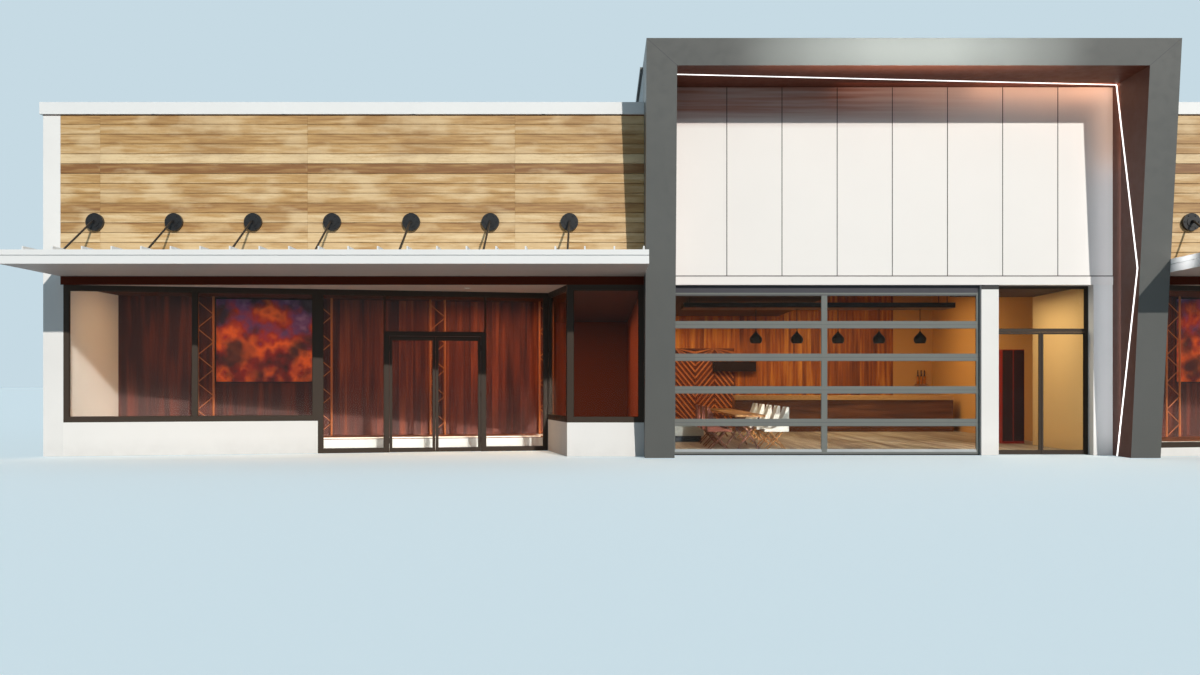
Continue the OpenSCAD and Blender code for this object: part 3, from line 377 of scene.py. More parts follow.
# %% Indoor timbers
timber("lining_timber", ((96, 38, 6), (168, 84, 16), (222, 140, 44)), upward, grain=0.08)
timber("chevron_timber", ((76, 26, 6), (136, 58, 14), (204, 118, 56)), size=3.0, grain=0.08, streaky=0.15)
timber("display_timber", ((58, 18, 6), (102, 38, 12), (146, 66, 24)), upward)
timber("counter_timber", ((68, 34, 17), (108, 60, 30), (144, 88, 50)), tone=0.5)
timber("pale_timber", ((158, 112, 58), (196, 148, 86), (224, 182, 122)), deep, size=3.0, tone=0.5)
timber("table_timber", ((120, 74, 36), (166, 112, 60), (204, 152, 92)), deep, size=2.0, tone=0.5)
timber("tan_timber", ((128, 82, 40), (178, 122, 68), (212, 160, 100)), upward, size=4.0, tone=0.5)
timber("leg_timber", ((60, 26, 14), (96, 46, 26), (130, 72, 42)), upward, size=4.0, tone=0.4)
timber("floor_timber", ((116, 98, 80), (154, 135, 112), (188, 173, 150)), deep, 0.42, tone=(0, 0.14))
print("finishes so far", len(finishes))

# %% [markdown]
# Several finishes and pieces follow the shops' splayed fronts. A place there is given by t along the splay and s
# into the room, both in metres from the corner where the glazing starts. The corner comes from the white plinth,
# whose face stands on the same line.

# %% Read the building's main lines
facade_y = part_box("left_cladding")[0].y
splay, plinth_t = math.radians(12.6), 0.2
along_splay = np.array([math.cos(splay), math.sin(splay), 0.0])
into_room = np.array([-math.sin(splay), math.cos(splay), 0.0])
start_of = {side: np.array([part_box(side + "_window_plinth")[0].x + plinth_t * math.sin(splay), facade_y, 0.0])
            for side in ("left", "right")}
print("facade at y =", round(facade_y, 3), "glazing starts at x =", [round(s[0], 3) for s in start_of.values()])

# %% [markdown]
# The roof is a welded sheet, and the print in the windows is a painted backdrop with soft, abstract colour: its
# height and two clouds choose between dusk colours, and a third cloud darkens it in places.

# %% Roof sheet and backdrop
lap_pitch, weld_w = 1.5, 0.06


def membrane(name, colour):
    """Roof sheet with a darker welded lap along X, where the distance past a lap is under weld_w."""
    tree = new_finish(name)
    weld = calc(tree, "LESS_THAN", calc(tree, "FLOORED_MODULO", axes(tree)[0], lap_pitch), weld_w)
    dusty = blend(tree, cloud(tree, 0.8, detail=8.0), colour, dimmed(colour, 0.7))
    coat(tree, blend(tree, weld, dusty, dimmed(colour, 0.6)), 0.8, Normal=bumps(tree, weld, 0.4, 0.004))


def backdrop_print(name, stops, shadow):
    """Abstract print: 0.6 of two mixed clouds and 0.4 of the height give each point its place on the stops."""
    tree = new_finish(name)
    wide, fine = cloud(tree, 1.3, detail=2.0), cloud(tree, 3.6, detail=3.0)
    height = spread(tree, axes(tree)[2], 1.2, 3.3, 0.25, 0.75)
    paint = ramp(tree, blend(tree, 0.4, blend(tree, 0.45, wide, fine), height), stops)
    shade = spread(tree, cloud(tree, 1.9, detail=4.0), 0.42, 0.62, 0.0, 0.85)
    coat(tree, blend(tree, shade, paint, shadow), 0.5)


membrane("roof_sheet", screen(150, 152, 154))
dusk = {0.36: (60, 18, 16), 0.42: (150, 34, 14), 0.475: (240, 104, 18), 0.53: (170, 40, 20), 0.59: (108, 58, 112),
        0.66: (160, 112, 150)}
backdrop_print("dusk_print", [(spot, screen(*colour)) for spot, colour in dusk.items()], screen(24, 26, 22))
print("finishes so far", len(finishes))

# %% [markdown]
# Two finishes change across one solid. A shop's ceiling runs out over its glazing, pale outside and dark inside,
# so its shader finds the line of the glass. The cafe's white panels carry painted shade under the portal's soffit,
# brown in level streaks that also paint the soffit's reflection.

# %% Ceilings and panels with painted shade
glass_s, splay_end = 0.1, 9.38
# Heights and x range of the painted shade and painted soffit reflection on the cafe's panels.
shade_foot, shade_full, shade_whole_x, shade_end_x = 6.27, 6.62, -1.0, 2.2


def two_part_ceiling(name, start, outside, inside, dust):
    """Ceiling board: inside the glazing is s > glass_s behind the splay, or t past its end."""
    tree = new_finish(name)
    place = add(tree, "VectorMath", {0: own_place(tree), 1: start}, operation="SUBTRACT").outputs[0]
    s, t = (add(tree, "VectorMath", {0: place, 1: line}, operation="DOT_PRODUCT").outputs["Value"]
            for line in (into_room, along_splay))
    within = calc(tree, "MAXIMUM", calc(tree, "GREATER_THAN", s, glass_s), calc(tree, "GREATER_THAN", t, splay_end))
    clouds = spread(tree, cloud(tree, 0.8), 0.3, 0.7, 0.0, 0.15)
    coat(tree, blend(tree, clouds, blend(tree, within, outside, inside), dust), 0.75, Specular_IOR_Level=0.2)


def soffit_shade_panel(name, colour, soffit_shade):
    """White panels with painted shade and a painted reflection of the brown soffit, in level streaks: full above the
    higher of the two heights and left of the first x, none below the lower height or right of the last x.
    """
    tree = new_finish(name)
    x, _, z = axes(tree)
    streaks = spread(tree, cloud(tree, 6.0, (0.08, 1.0, 2.4), 6.0), 0.35, 0.65, 0.7, 1.0)
    streaks = calc(tree, "MULTIPLY", streaks, spread(tree, z, shade_foot, shade_full))
    streaks = calc(tree, "MULTIPLY", streaks, spread(tree, x, shade_whole_x, shade_end_x, 1.0, 0.0))
    clean = blend(tree, cloud(tree, 0.9), colour, dimmed(colour, 0.95))
    coat(tree, blend(tree, streaks, clean, soffit_shade), 0.48, Normal=sprayed(tree))


for side, start in start_of.items():
    two_part_ceiling(side + "_ceiling", start, screen(236, 210, 196), screen(84, 44, 28), screen(90, 70, 60))
# The panels' brown is painted shade under the portal's soffit, with a painted reflection of the soffit.
soffit_shade_panel("soffit_shaded_panel", screen(238, 236, 234), screen(160, 108, 92))
print("all finishes", len(finishes))

# %% [markdown]
# Now the construction model's own pieces get their finish. Most of them have one all over, and pieces of a kind
# share the end of their name, so a table from each finish to such endings says it all.

# %% Give the building its finishes
endings_of = {
    "white_render": "end_wall party_wall back_walls shop_front_walls plinth nib piers platforms",
    "rubber": "cafe_front_wall",
    "white_metal": "left_coping right_coping canopy",
    "white_panel": "cafe_lintel",
    # painted shade and a painted soffit reflection on the cafe's panels
    "soffit_shaded_panel": "cafe_panels",
    "portal_metal": "leg portal_beam cafe_coping",
    "frame_metal": "frame shop_doors door_left door_right",
    "door_metal": "overhead_door",
    "header_metal": "shop_headers",
    "black_metal": "rods lamp_beam pendant_lamps",
    "clear_glass": "glass",
    "floor_timber": "floor_slabs",
    "roof_sheet": "roofs",
    "left_ceiling": "ceilings",
    "light_strip": "light_strips",
    "left_board_timber": "left_cladding",
    "right_board_timber": "right_cladding",
    "lining_timber": "cafe_wall_lining",
    "counter_timber": "cafe_counter",
    "leg_timber": "cafe_seating",
    "display_timber": "display_walls",
}
dressed = 0
for finish, endings in endings_of.items():
    for name, node in cad_nodes.items():
        if name.endswith(tuple(endings.split())):
            node.data.materials.clear()
            node.data.materials.append(finishes[finish])
            dressed += 1
print("dressed", dressed, "of", len(cad_nodes), "nodes")

# %% [markdown]
# A few pieces hold parts of different stuff, such as the table and its chairs, or a wall that is white outside
# and painted inside. Their meshes stay whole, and a rule on the centres and normals of the faces says which
# finish a face takes.

# %% Paint parts of one node
def read_rows(items, kind):
    """Three numbers of each item of a mesh, such as its co or normal, as rows of an array."""
    rows = np.empty(len(items) * 3)
    items.foreach_get(kind, rows)
    return rows.reshape(-1, 3)


def paint_parts(name, *parts):
    """Gives faces further finishes. A part is a finish and a rule on the x, y and z rows of centres and normals."""
    mesh = cad_nodes[name].data
    centres, normals = (read_rows(mesh.polygons, kind).T for kind in ("center", "normal"))
    chosen = np.zeros(len(mesh.polygons), int)
    for index, (finish, rule) in enumerate(parts, 1):
        mesh.materials.append(finishes[finish])
        chosen[rule(centres, normals)] = index
    mesh.polygons.foreach_set("material_index", chosen)
    mesh.update()
    print(name, np.bincount(chosen).tolist(), "faces by finish")


def facing(axis, sign):
    """A rule for faces that look along an axis, one way or the other."""
    return lambda c, n: n[axis] * sign > 0.9


leg_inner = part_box("cafe_front_wall")[1].x
room_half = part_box("right_party_wall")[0].x
canopy_soffit, door_head = 3.42, 3.14
paint_parts(
    "ceilings", ("right_ceiling", lambda c, n: c[0] > room_half),
    ("dark_ceiling", lambda c, n: (np.abs(c[0]) < room_half) & (n[2] < 0.5)))
for side in ("left", "right"):
    paint_parts("portal_" + side + "_leg", (
        "reveal_metal", lambda c, n: (np.abs(np.abs(c[0]) - leg_inner) < 0.01) & (np.abs(n[0]) > 0.9)))
    # The canopies' undersides take a darker, browner copy of the white metal: painted shade.
    paint_parts(side + "_canopy", ("under_metal", lambda c, n: (n[2] < -0.9) & (c[2] < canopy_soffit)))
paint_parts("portal_beam", ("soffit_metal", lambda c, n: n[2] < -0.5))
paint_parts("back_walls", ("back_paint", facing(1, -1)))
paint_parts("left_end_wall", ("side_paint", facing(0, 1)))
paint_parts("left_party_wall", ("back_paint", facing(0, -1)), ("tan_paint", facing(0, 1)))
paint_parts("right_party_wall", ("tan_paint", facing(0, -1)), ("side_paint", facing(0, 1)))
paint_parts("display_walls", (
    "lattice_metal", lambda c, n: (np.abs(n[2]) < 0.99) & (np.abs(np.abs(into_room @ n) - 1) > 0.001)))
paint_parts("overhead_door", ("head_metal", lambda c, n: c[2] > door_head))

# %% [markdown]
# The cafe's seating is one node: a long table with white chairs on its right and dark tubs on its left, and a
# bench along the wall behind them. Distances from the table's middle and heights tell them apart.

# %% Paint the cafe's seating, counter and lining
table_x, table_reach, table_under, tub_under = -2.6, 0.315, 0.70, 0.40
bench_low, bench_edge, bench_under = facade_y + 4.7, -3.18, 0.179
paint_parts(
    "cafe_seating",
    ("table_timber", lambda c, n: (np.abs(c[0] - table_x) < table_reach) & (c[2] > table_under)),
    ("tan_timber", lambda c, n: (c[0] > table_x + table_reach) & (c[2] <= tub_under)),
    ("seat_plastic", lambda c, n: (c[0] > table_x + table_reach) & (c[2] > tub_under)),
    ("dark_tub", lambda c, n: (c[0] < table_x - table_reach) & (c[1] < bench_low) & (c[2] > tub_under)),
    ("bench_base", lambda c, n: (c[0] < bench_edge) & (c[1] > bench_low)),
    ("bench_cover", lambda c, n: (c[0] < bench_edge) & (c[1] > bench_low) & (c[2] > bench_under)))

counter_top, cabinet_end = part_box("cafe_counter")[0].z + 0.89, facade_y + 5
paint_parts("cafe_counter", ("pale_timber", lambda c, n: c[2] > counter_top),
            ("cabinet_paint", lambda c, n: c[1] < cabinet_end))

lobby_x, lobby_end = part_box("cafe_entrance_frame")[1].x, facade_y + 4
back_y, back_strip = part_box("back_walls")[1].y - 0.3, facade_y + 12
chevron_right, chevron_top = -1.545, 2.45
paint_parts(
    "cafe_wall_lining",
    ("lobby_paint", lambda c, n: (c[0] > lobby_x - 0.01) & (c[1] < lobby_end)),
    ("shelf_metal", lambda c, n: (c[1] > back_strip) & (c[1] < back_y - 0.055) & (c[0] < chevron_right + 0.7)))

# %% [markdown]
# Every new piece is worked out as whole arrays of points. This helper puts such arrays into a mesh, leaves the
# object at the origin, says which body of the building it rides on, and can round its edges as a last touch.

# %% Put arrays into a piece
def put_piece(name, shape, finish, slot, body="building", tones=None, bevel=0.0, smooth=False):
    """Makes a piece from its points (n, 3) and faces (m, k), with a tone for each of its solids if given."""
    points, faces = shape
    mesh = bpy.data.meshes.new(name)
    mesh.from_pydata(np.reshape(points, (-1, 3)).tolist(), [], [list(face) for face in faces])
    if tones is not None:
        values = np.repeat(np.asarray(tones, float), len(mesh.polygons) // len(tones))
        mesh.attributes.new("tone", "FLOAT", "FACE").data.foreach_set("value", values)
    mesh.materials.append(finishes[finish])
    mesh.polygons.foreach_set("use_smooth", np.full(len(mesh.polygons), smooth))
    mesh.update()
    piece = new_object(name, mesh)
    if bevel:
        edge = piece.modifiers.new("edges", "BEVEL")
        edge.width, edge.segments, edge.limit_method = bevel, 1, "ANGLE"
    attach(piece, body)
    print(name, len(mesh.polygons), "faces")
    return piece


def places(x, y, z):
    """Places from their x, y and z, each a number or an array of them."""
    return np.stack(np.broadcast_arrays(x, y, z), axis=-1).astype(float)


box_corners = np.array([[x, y, z] for x in (0, 1) for y in (0, 1) for z in (0, 1)])
box_faces = np.array([[0, 1, 3, 2], [4, 6, 7, 5], [0, 4, 5, 1], [2, 3, 7, 6], [0, 2, 6, 4], [1, 5, 7, 3]])


def boxes(low, high):
    """Corners and faces of n boxes, each corner its low point plus 0 or 1 times its size on each axis."""
    low, high = np.broadcast_arrays(np.atleast_2d(low).astype(float), np.atleast_2d(high).astype(float))
    points = low[:, None] + box_corners * (high - low)[:, None]
    faces = box_faces + 8 * np.arange(len(low))[:, None, None]
    return points.reshape(-1, 3), faces.reshape(-1, 4)


# %% [markdown]
# The shops' timber front is a stack of long boards on a dark backing. The panels they came in meet at upright
# seams a little under four metres apart. Each board is its own solid, 186 mm from the next, with a narrow open
# joint, and its tone decides whether it reads as tan or brown.

# %% Lay the timber boards
board_pitch, board_gap, seam_gap, backing_t, end_clear = 0.186, 0.009, 0.0015, 0.012, 0.3
row_tones = np.array([
    0.44, 0.60, 0.42, 0.56, 1.0, 0.02, 0.64, 0.52, 0.55, 0.28, 0.74, 0.3, 0.76, 0.58, 0.5, 0.62, 0.5])


def lay_boards(side):
    """Boards between the node's ends: rows from the top down, each cut at every seam, with one tone to a row."""
    low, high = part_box(side + "_cladding")
    rows = math.ceil((high.z - low.z) / board_pitch)
    cuts = np.arange(first_seam[side], high.x, seam_pitch)
    cuts = cuts[(cuts > low.x + end_clear) & (cuts < high.x - end_clear)]
    cuts = np.concatenate(([low.x], cuts, [high.x]))
    row, column = np.divmod(np.arange(rows * (len(cuts) - 1)), len(cuts) - 1)
    top = high.z - row * board_pitch
    foot = np.maximum(top - board_pitch + board_gap, low.z)
    backing_y = high.y - backing_t
    lows = places(cuts[column] + seam_gap / 2, low.y, foot)
    highs = places(cuts[column + 1] - seam_gap / 2, backing_y, top)
    piece = put_piece(
        side + "_boards", boxes(np.vstack([lows, [low.x, backing_y, low.z]]), np.vstack([highs, high])),
        side + "_board_timber", "timber_boards", tones=np.append(row_tones[row % len(row_tones)], 0.0), bevel=0.0025)
    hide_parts(side + "_cladding")


lay_boards("left")
lay_boards("right")

# %% [markdown]
# Each pane sits between dark glazing beads. Their places come from the panes themselves. A glass node is loose
# triangles, so points that share a triangle are given the lowest label among them, round after round, until each
# pane has a label of its own. Its direction is the longer axis of its outline seen from above.

# %% Find the panes
def pane_corners(name, rounds=12):
    """For each pane of a glass node: middle, direction, half its width, half its height and half its thickness."""
    mesh = cad_nodes[name].data
    points, same = np.unique(read_rows(mesh.vertices, "co").round(4), axis=0, return_inverse=True)
    triangles = same.ravel()[[loop.vertex_index for loop in mesh.loops]].reshape(-1, 3)
    label = np.arange(len(points))
    for _ in range(rounds):
        np.minimum.at(label, triangles.ravel(), np.repeat(label[triangles].min(axis=1), 3))
    panes = []
    for mark in np.unique(label):
        corners = points[label == mark]
        flat = corners[:, :2] - corners[:, :2].mean(0)
        lines = np.linalg.svd(flat, full_matrices=False)[2]
        along = np.append(lines[0] * np.sign(lines[0][0] if abs(lines[0][0]) > 0.5 else -lines[0][1]), 0.0)
        width, thickness = np.ptp(flat @ lines.T, axis=0)
        middle = (corners.min(0) + corners.max(0)) / 2
        panes.append((middle, along, width / 2, np.ptp(corners[:, 2]) / 2, thickness / 2))
    return panes


print("panes in the left shop", len(pane_corners("left_shop_glass")))

# %% [markdown]
# One small slanted profile is carried round the four sides of a pane, mitred at the corners, on both of its
# faces. The slope sheds water, and seen from the front it gives each bar a fine bright edge.

# %% Bead the panes
bead_profile = np.array([[0.0, 0.0], [0.0, 0.022], [0.008, 0.022], [0.016, 0.014], [0.016, 0.0]])
thin_bead = bead_profile * np.array([0.6, 0.4])


def bead_ring(middle, along, half_w, half_h, half_t, side, profile):
    """Carries (inward, outward) profile points round a pane: its corner - inward on both axes, + outward."""
    out = np.array([along[1], -along[0], 0.0]) * side
    signs = np.array([[-1, -1], [1, -1], [1, 1], [-1, 1]])
    inward, outward = profile.T
    sideways, height = signs[:, :1] * (half_w - inward), signs[:, 1:] * (half_h - inward)
    points = (middle + sideways[..., None] * along + height[..., None] * upward
              + (half_t + outward)[None, :, None] * out)
    count = len(profile)
    corner, step = np.divmod(np.arange(4 * count), count)
    turn, rise = (corner + 1) % 4, (step + 1) % count
    faces = np.stack([corner * count + step, turn * count + step, turn * count + rise, corner * count + rise], -1)
    return points.reshape(-1, 3), faces if side > 0 else faces[:, ::-1]


def bead_panes(name, glass, body="building", profile=bead_profile, finish="frame_metal"):
    """Beads on both faces of every pane in a glass node, in one mesh."""
    rings = [bead_ring(*pane, side, profile) for pane in pane_corners(glass) for side in (1, -1)]
    faces = [quads + 4 * len(profile) * number for number, (_, quads) in enumerate(rings)]
    put_piece(name, (np.vstack([ring for ring, _ in rings]), np.vstack(faces)), finish, "dark_metal", body)


bead_panes("left_shop_beads", "left_shop_glass")
bead_panes("right_shop_beads", "right_shop_glass", profile=thin_bead)
bead_panes("overhead_door_beads", "overhead_door_glass", profile=thin_bead, finish="door_metal")
bead_panes("cafe_entrance_beads", "cafe_entrance_glass")
for room in ("shop", "cafe"):
    for side in ("left", "right"):
        leaf = room + "_door_" + side
        bead_panes(leaf + "_beads", leaf + "_glass", room + "_leaf_" + side, thin_bead)

# %% [markdown]
# The cafe's back wall is lined with upright boards of changing tone, and a plain tan board closes its right end.
# On the left the boards stop over a chevron panel, and at their top they follow a ceiling that steps.

# %% Line the cafe's back wall
lining_face = back_y - 0.03
board_w, joint, board_t = 0.135, 0.004, 0.014
tan_left, step_x, shop_ceiling, cafe_ceiling = 3.28, -0.2, 3.43, 4.1
wall_board, floor_top = lining_face - board_t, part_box("floor_slabs")[1].z

left_ends = np.arange(-room_half, tan_left - board_w, board_w)
board_foot = np.where(left_ends < chevron_right - 0.05, chevron_top, floor_top)
board_head = np.where(left_ends + board_w < step_x, shop_ceiling, cafe_ceiling)
wander = np.random.default_rng(11).uniform(0, 1, len(left_ends))
lining_tones = np.clip(0.5 + 0.35 * np.sin(left_ends * 1.9 + 1.0) * wander + 0.3 * (wander - 0.5), 0.05, 0.95)
lining = boxes(places(left_ends, wall_board, board_foot), places(left_ends + board_w - joint, lining_face, board_head))
put_piece("lining_boards", lining, "lining_timber", "lining_timber", tones=lining_tones, bevel=0.002)

# %% [markdown]
# A chevron slat is a slanted strip between two upright lines, so its ends rise by its width times the slope.
# Slats that would pass the panel's edges are cut level there by limiting their heights, and those with nothing
# left are dropped.

# %% Set the chevron panel
columns, slat_w, slope, groove = 5, 0.095, 1.2, 0.018
column_w = (chevron_right + room_half) / columns


def chevron_slats(x0, z0, z1, front):
    """Slats in columns: in each, foot(x) = start + slope * distance, falling in every other column, cut to z0..z1."""
    rise = column_w * slope
    rows = int((z1 - z0 + rise) / slat_w) + 2
    column, row = np.divmod(np.arange(columns * rows), rows)
    left = x0 + column * column_w
    right = left + column_w - groove / 2
    start = z0 - rise + row * slat_w
    foot_left = start + rise * (column % 2 == 0)
    foot_right = start + rise * (column % 2 == 1)
    tall = slat_w - groove
    heights = np.clip(np.stack([foot_left, foot_right, foot_right + tall, foot_left + tall], axis=1), z0, z1)
    sideways = np.stack([left, right, right, left], axis=1)
    keep = np.ptp(heights, axis=1) > 0.004
    points = np.concatenate([places(sideways, y, heights) for y in (front, front + board_t)], axis=1)[keep]
    quads = np.array([[0, 1, 2, 3], [7, 6, 5, 4], [0, 4, 5, 1], [1, 5, 6, 2], [2, 6, 7, 3], [3, 7, 4, 0]])
    faces = quads + 8 * np.arange(keep.sum())[:, None, None]
    return (points.reshape(-1, 3), faces.reshape(-1, 4)), (row % 2)[keep]


slats, odd = chevron_slats(-room_half, floor_top, chevron_top, wall_board - 0.03)
slat_tones = 0.12 + 0.56 * odd + np.random.default_rng(7).uniform(0, 0.2, len(odd))
put_piece("chevron_panel", slats, "chevron_timber", "lining_timber", tones=slat_tones)
tan_board = boxes([tan_left, wall_board, floor_top], [room_half, lining_face, cafe_ceiling])
put_piece("tan_wall_board", tan_board, "tan_paint", "lining_timber")

# %% [markdown]
# Behind the shop windows stands a display wall on a platform. One field of it carries an abstract print, framed by
# slim edges, and the rest is boarded. The wall is parallel to the splayed window, so its places are given along
# the splay and behind it.

# %% Dress the display wall
display_face, rail, skin, show_head = 2.6, 0.02, 0.24, 3.22
print_left, print_right, print_foot, print_head = 2.5, 4.6, 1.42, 3.2
rail_t0, rail_t1, rail_z0, rail_z1 = np.array([
    [print_left - rail, print_right + rail, print_foot - rail, print_foot],
    [print_left - rail, print_right + rail, print_head, print_head + rail],
    [print_left - rail, print_left, print_foot, print_head],
    [print_right, print_right + rail, print_foot, print_head]]).T
board_t0 = np.arange(5.1, 9.8, 0.16)


def put_splayed(name, start, low, high, finish, slot, **others):
    """Boxes given along the splay, behind it and up: point = start + t along + s into the room + z up."""
    points, faces = boxes(low, high)
    put_piece(name, (start + points @ np.array([along_splay, into_room, upward]), faces), finish, slot, **others)


for side, start in start_of.items():
    put_splayed(side + "_display_print", start, [print_left, display_face - 0.012, print_foot],
                [print_right, display_face, print_head], "dusk_print", "display_board", bevel=0.003)
    put_splayed(side + "_print_frame", start, places(rail_t0, display_face - rail, rail_z0),
                places(rail_t1, display_face, rail_z1), "black_metal", "black_metal", bevel=0.002)
    tones = np.random.default_rng(21).uniform(0.1, 0.6, len(board_t0))
    put_splayed(side + "_display_boards", start, places(board_t0, display_face - 0.01, skin),
                places(board_t0 + 0.152, display_face, show_head), "display_timber", "display_board", tones=tones)
    put_splayed(side + "_platform_top", start, [0.9, 0.86, 0.2305], [9.4, 2.58, skin],
                "counter_timber", "counter_wood", tones=[0.5])
    put_splayed(side + "_platform_edge", start, [4.7, 1.02, skin], [9.3, 1.05, 0.262], "opal_edge", "light_diffuser")

# %% [markdown]
# Bolts hold the wall plates of the canopy rods and their feet. A bolt head is a six-sided lathe shape: its outline
# is turned round its axis in as many steps as it has sides. One small outline serves every bolt.

# %% Turn and place the bolts
def turned(outline, steps, centres, axis):
    """Turns (radius, height) points round an axis: point = centre + r (cos a, sin a) across it + h along it."""
    first = np.cross(axis, upward if abs(axis[2]) < 0.9 else across)
    first /= np.linalg.norm(first)
    angle = np.arange(steps) * 2 * np.pi / steps
    circle = np.cos(angle)[:, None] * first + np.sin(angle)[:, None] * np.cross(axis, first)
    outline = np.asarray(outline, float)
    shape = outline[:, None, :1] * circle[None] + outline[:, None, 1:] * axis
    points = np.reshape(centres, (-1, 1, 1, 3)) + shape[None]
    row, step = np.divmod(np.arange((len(outline) - 1) * steps), steps)
    here, turn = row * steps + step, row * steps + (step + 1) % steps
    quads = np.stack([here, turn, turn + steps, here + steps], -1)
    quads = quads + np.arange(len(points))[:, None, None] * len(outline) * steps
    return points.reshape(-1, 3), quads.reshape(-1, 4)


bolt_outline = np.array([
    (0.0001, 0.0), (0.019, 0.0), (0.019, 0.002), (0.014, 0.002), (0.014, 0.012), (0.011, 0.014), (0.0001, 0.014)])
plate_z, plate_face, bolt_ring = 4.42, 0.08, 0.13
foot_z, foot_reach, foot_bolt_off, foot_bolt_size = 3.656, 1.40, 0.034, 0.45
rod_first, rod_pitch, rod_count = 0.615, 1.49, 7
sixths = np.arange(6) * np.pi / 3
foot_corners = foot_bolt_off * np.array([[-1, -1, 0], [-1, 1, 0], [1, -1, 0], [1, 1, 0]])
for side, start in start_of.items():
    rod_x = start[0] + rod_first + np.arange(rod_count) * rod_pitch
    on_plate = places(rod_x[:, None] + bolt_ring * np.cos(sixths), facade_y - plate_face,
                      plate_z + bolt_ring * np.sin(sixths))
    on_foot = places(rod_x, facade_y - foot_reach, foot_z)[:, None] + foot_corners
    put_piece(side + "_plate_bolts", turned(bolt_outline, 6, on_plate, -deep), "black_metal", "black_metal")
    put_piece(side + "_foot_bolts", turned(bolt_outline * foot_bolt_size, 6, on_foot, upward), "black_metal",
              "black_metal")

# %% [markdown]
# Thin strips sit where two things meet: a dark drip under each coping, which also paints the shadow line under
# the coping's lip, a dark joint over the cafe's lintel, and covers on the joints between its panels. They are a few
# millimetres thick, yet they draw the lines of the whole front.

# %% Strips under the copings and between the panels
wall_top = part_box("left_cladding")[1].z
under = [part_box(side + part) for side in ("left", "right") for part in ("_cladding", "_end_wall")]
low, high = np.transpose(under, (1, 0, 2))
# A dark strip under each coping: a drip flashing, and also a painted shadow of the coping's lip.
drip_shadow_strips = boxes(places(low[:, 0], low[:, 1] - 0.004, wall_top - 0.02), places(high[:, 0], low[:, 1], wall_top))
put_piece("coping_drip_shadows", drip_shadow_strips, "header_metal", "dark_metal")

panel_y, lintel_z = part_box("cafe_panels")[0].y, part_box("cafe_lintel")[1].z
joint_top = lintel_z + 0.02
lintel_joint = boxes([-leg_inner, panel_y - 0.003, lintel_z], [leg_inner, panel_y, joint_top])
put_piece("lintel_joint", lintel_joint, "shelf_metal", "black_metal")

panel_count, panel_joint, cover_half = 8, 0.012, 0.0075
beam_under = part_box("cafe_front_wall")[1].z
panel_pitch = (2 * leg_inner + panel_joint) / panel_count
joint_x = np.arange(1, panel_count) * panel_pitch - leg_inner - panel_joint / 2
covers = boxes(places(joint_x - cover_half, panel_y - 0.001, joint_top),
               places(joint_x + cover_half, panel_y, beam_under - 0.01))
put_piece("panel_joint_covers", covers, "rubber", "black_metal")

# %% [markdown]
# The overhead door is made of five sections. Fine joints show where they meet, a rubber seal runs along its foot,
# a slanted bead lies on the sill of each lowest pane, and a rail closes its top. A dark strip, the door's head
# carried on, tops the pier beside it, and its black also paints the shade under the lintel.

# %% Joints, seal and sill of the overhead door
door_low, door_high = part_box("overhead_door")
section, door_rail, joint_half = 0.628, 0.0625, 0.002
levels = section * np.arange(1, 5)
joints = boxes(places(door_low.x, door_low.y - 0.001, levels - joint_half),
               places(door_high.x, door_low.y, levels + joint_half))
put_piece("door_section_joints", joints, "head_metal", "dark_metal")
seal = boxes([door_low.x, door_low.y - 0.006, 0.0], [door_high.x, door_low.y, 0.024])
put_piece("door_foot_seal", seal, "rubber", "black_metal", bevel=0.003)

pane_ends = np.array([0.06, 2.89, 2.99, 5.874]) + door_low.x
sill = np.array([[0.0, 0.0], [0.013, 0.0], [0.013, 0.055], [0.008, 0.055]]) + [door_low.y, door_rail]
ring = np.array([[0, 1, 5, 4], [1, 2, 6, 5], [2, 3, 7, 6], [3, 0, 4, 7], [3, 2, 1, 0], [4, 5, 6, 7]])
sill_beads = places(pane_ends[:, None], sill[:, 0], sill[:, 1]), np.vstack([ring, ring + 8])
put_piece("door_sill_beads", sill_beads, "sill_metal", "grey_metal")
top_rail = boxes([door_low.x, door_low.y - 0.003, 3.092], [door_high.x, door_low.y, 3.126])
put_piece("door_top_rail", top_rail, "door_metal", "grey_metal")

pier_y, lintel_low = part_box("cafe_piers")[0].y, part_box("cafe_lintel")[0].z
pier_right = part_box("cafe_entrance_frame")[0].x
# The strip is the door's head carried over the pier, and its black also paints the lintel's shade there.
pier_strip = boxes([door_high.x, pier_y - 0.003, lintel_low - 0.085], [pier_right, pier_y, lintel_low])
put_piece("pier_head_strip", pier_strip, "black_metal", "dark_metal")

# %% [markdown]
# The portal's sheets meet in a mitre at each top corner, and its front leans, so a mitre line climbs outwards and
# forwards. Covers straddle the white copings where their lengths meet.

# %% Mitres and coping covers
seam_half, seam_proud = 0.003, 0.0008
portal_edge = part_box("portal_right_leg")[1].x
corner_x = np.array([leg_inner, portal_edge])
corner_z = np.array([beam_under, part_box("portal_beam")[1].z])
corner_y = facade_y - 0.42 - 0.8 * corner_z / corner_z[1]
slant = np.array([corner_z[0] - corner_z[1], 0.0, corner_x[1] - corner_x[0]])
slant *= seam_half / np.linalg.norm(slant)
seams = []
for sign in (-1, 1):
    ends, aside = places(sign * corner_x, corner_y, corner_z), slant * [sign, 1, 1]
    seams.append(np.vstack([ends + aside, (ends - aside)[::-1]])[::sign] - [0, seam_proud, 0])
put_piece("portal_mitres", (np.vstack(seams), [[0, 1, 2, 3], [4, 5, 6, 7]]), "head_metal", "grey_metal")

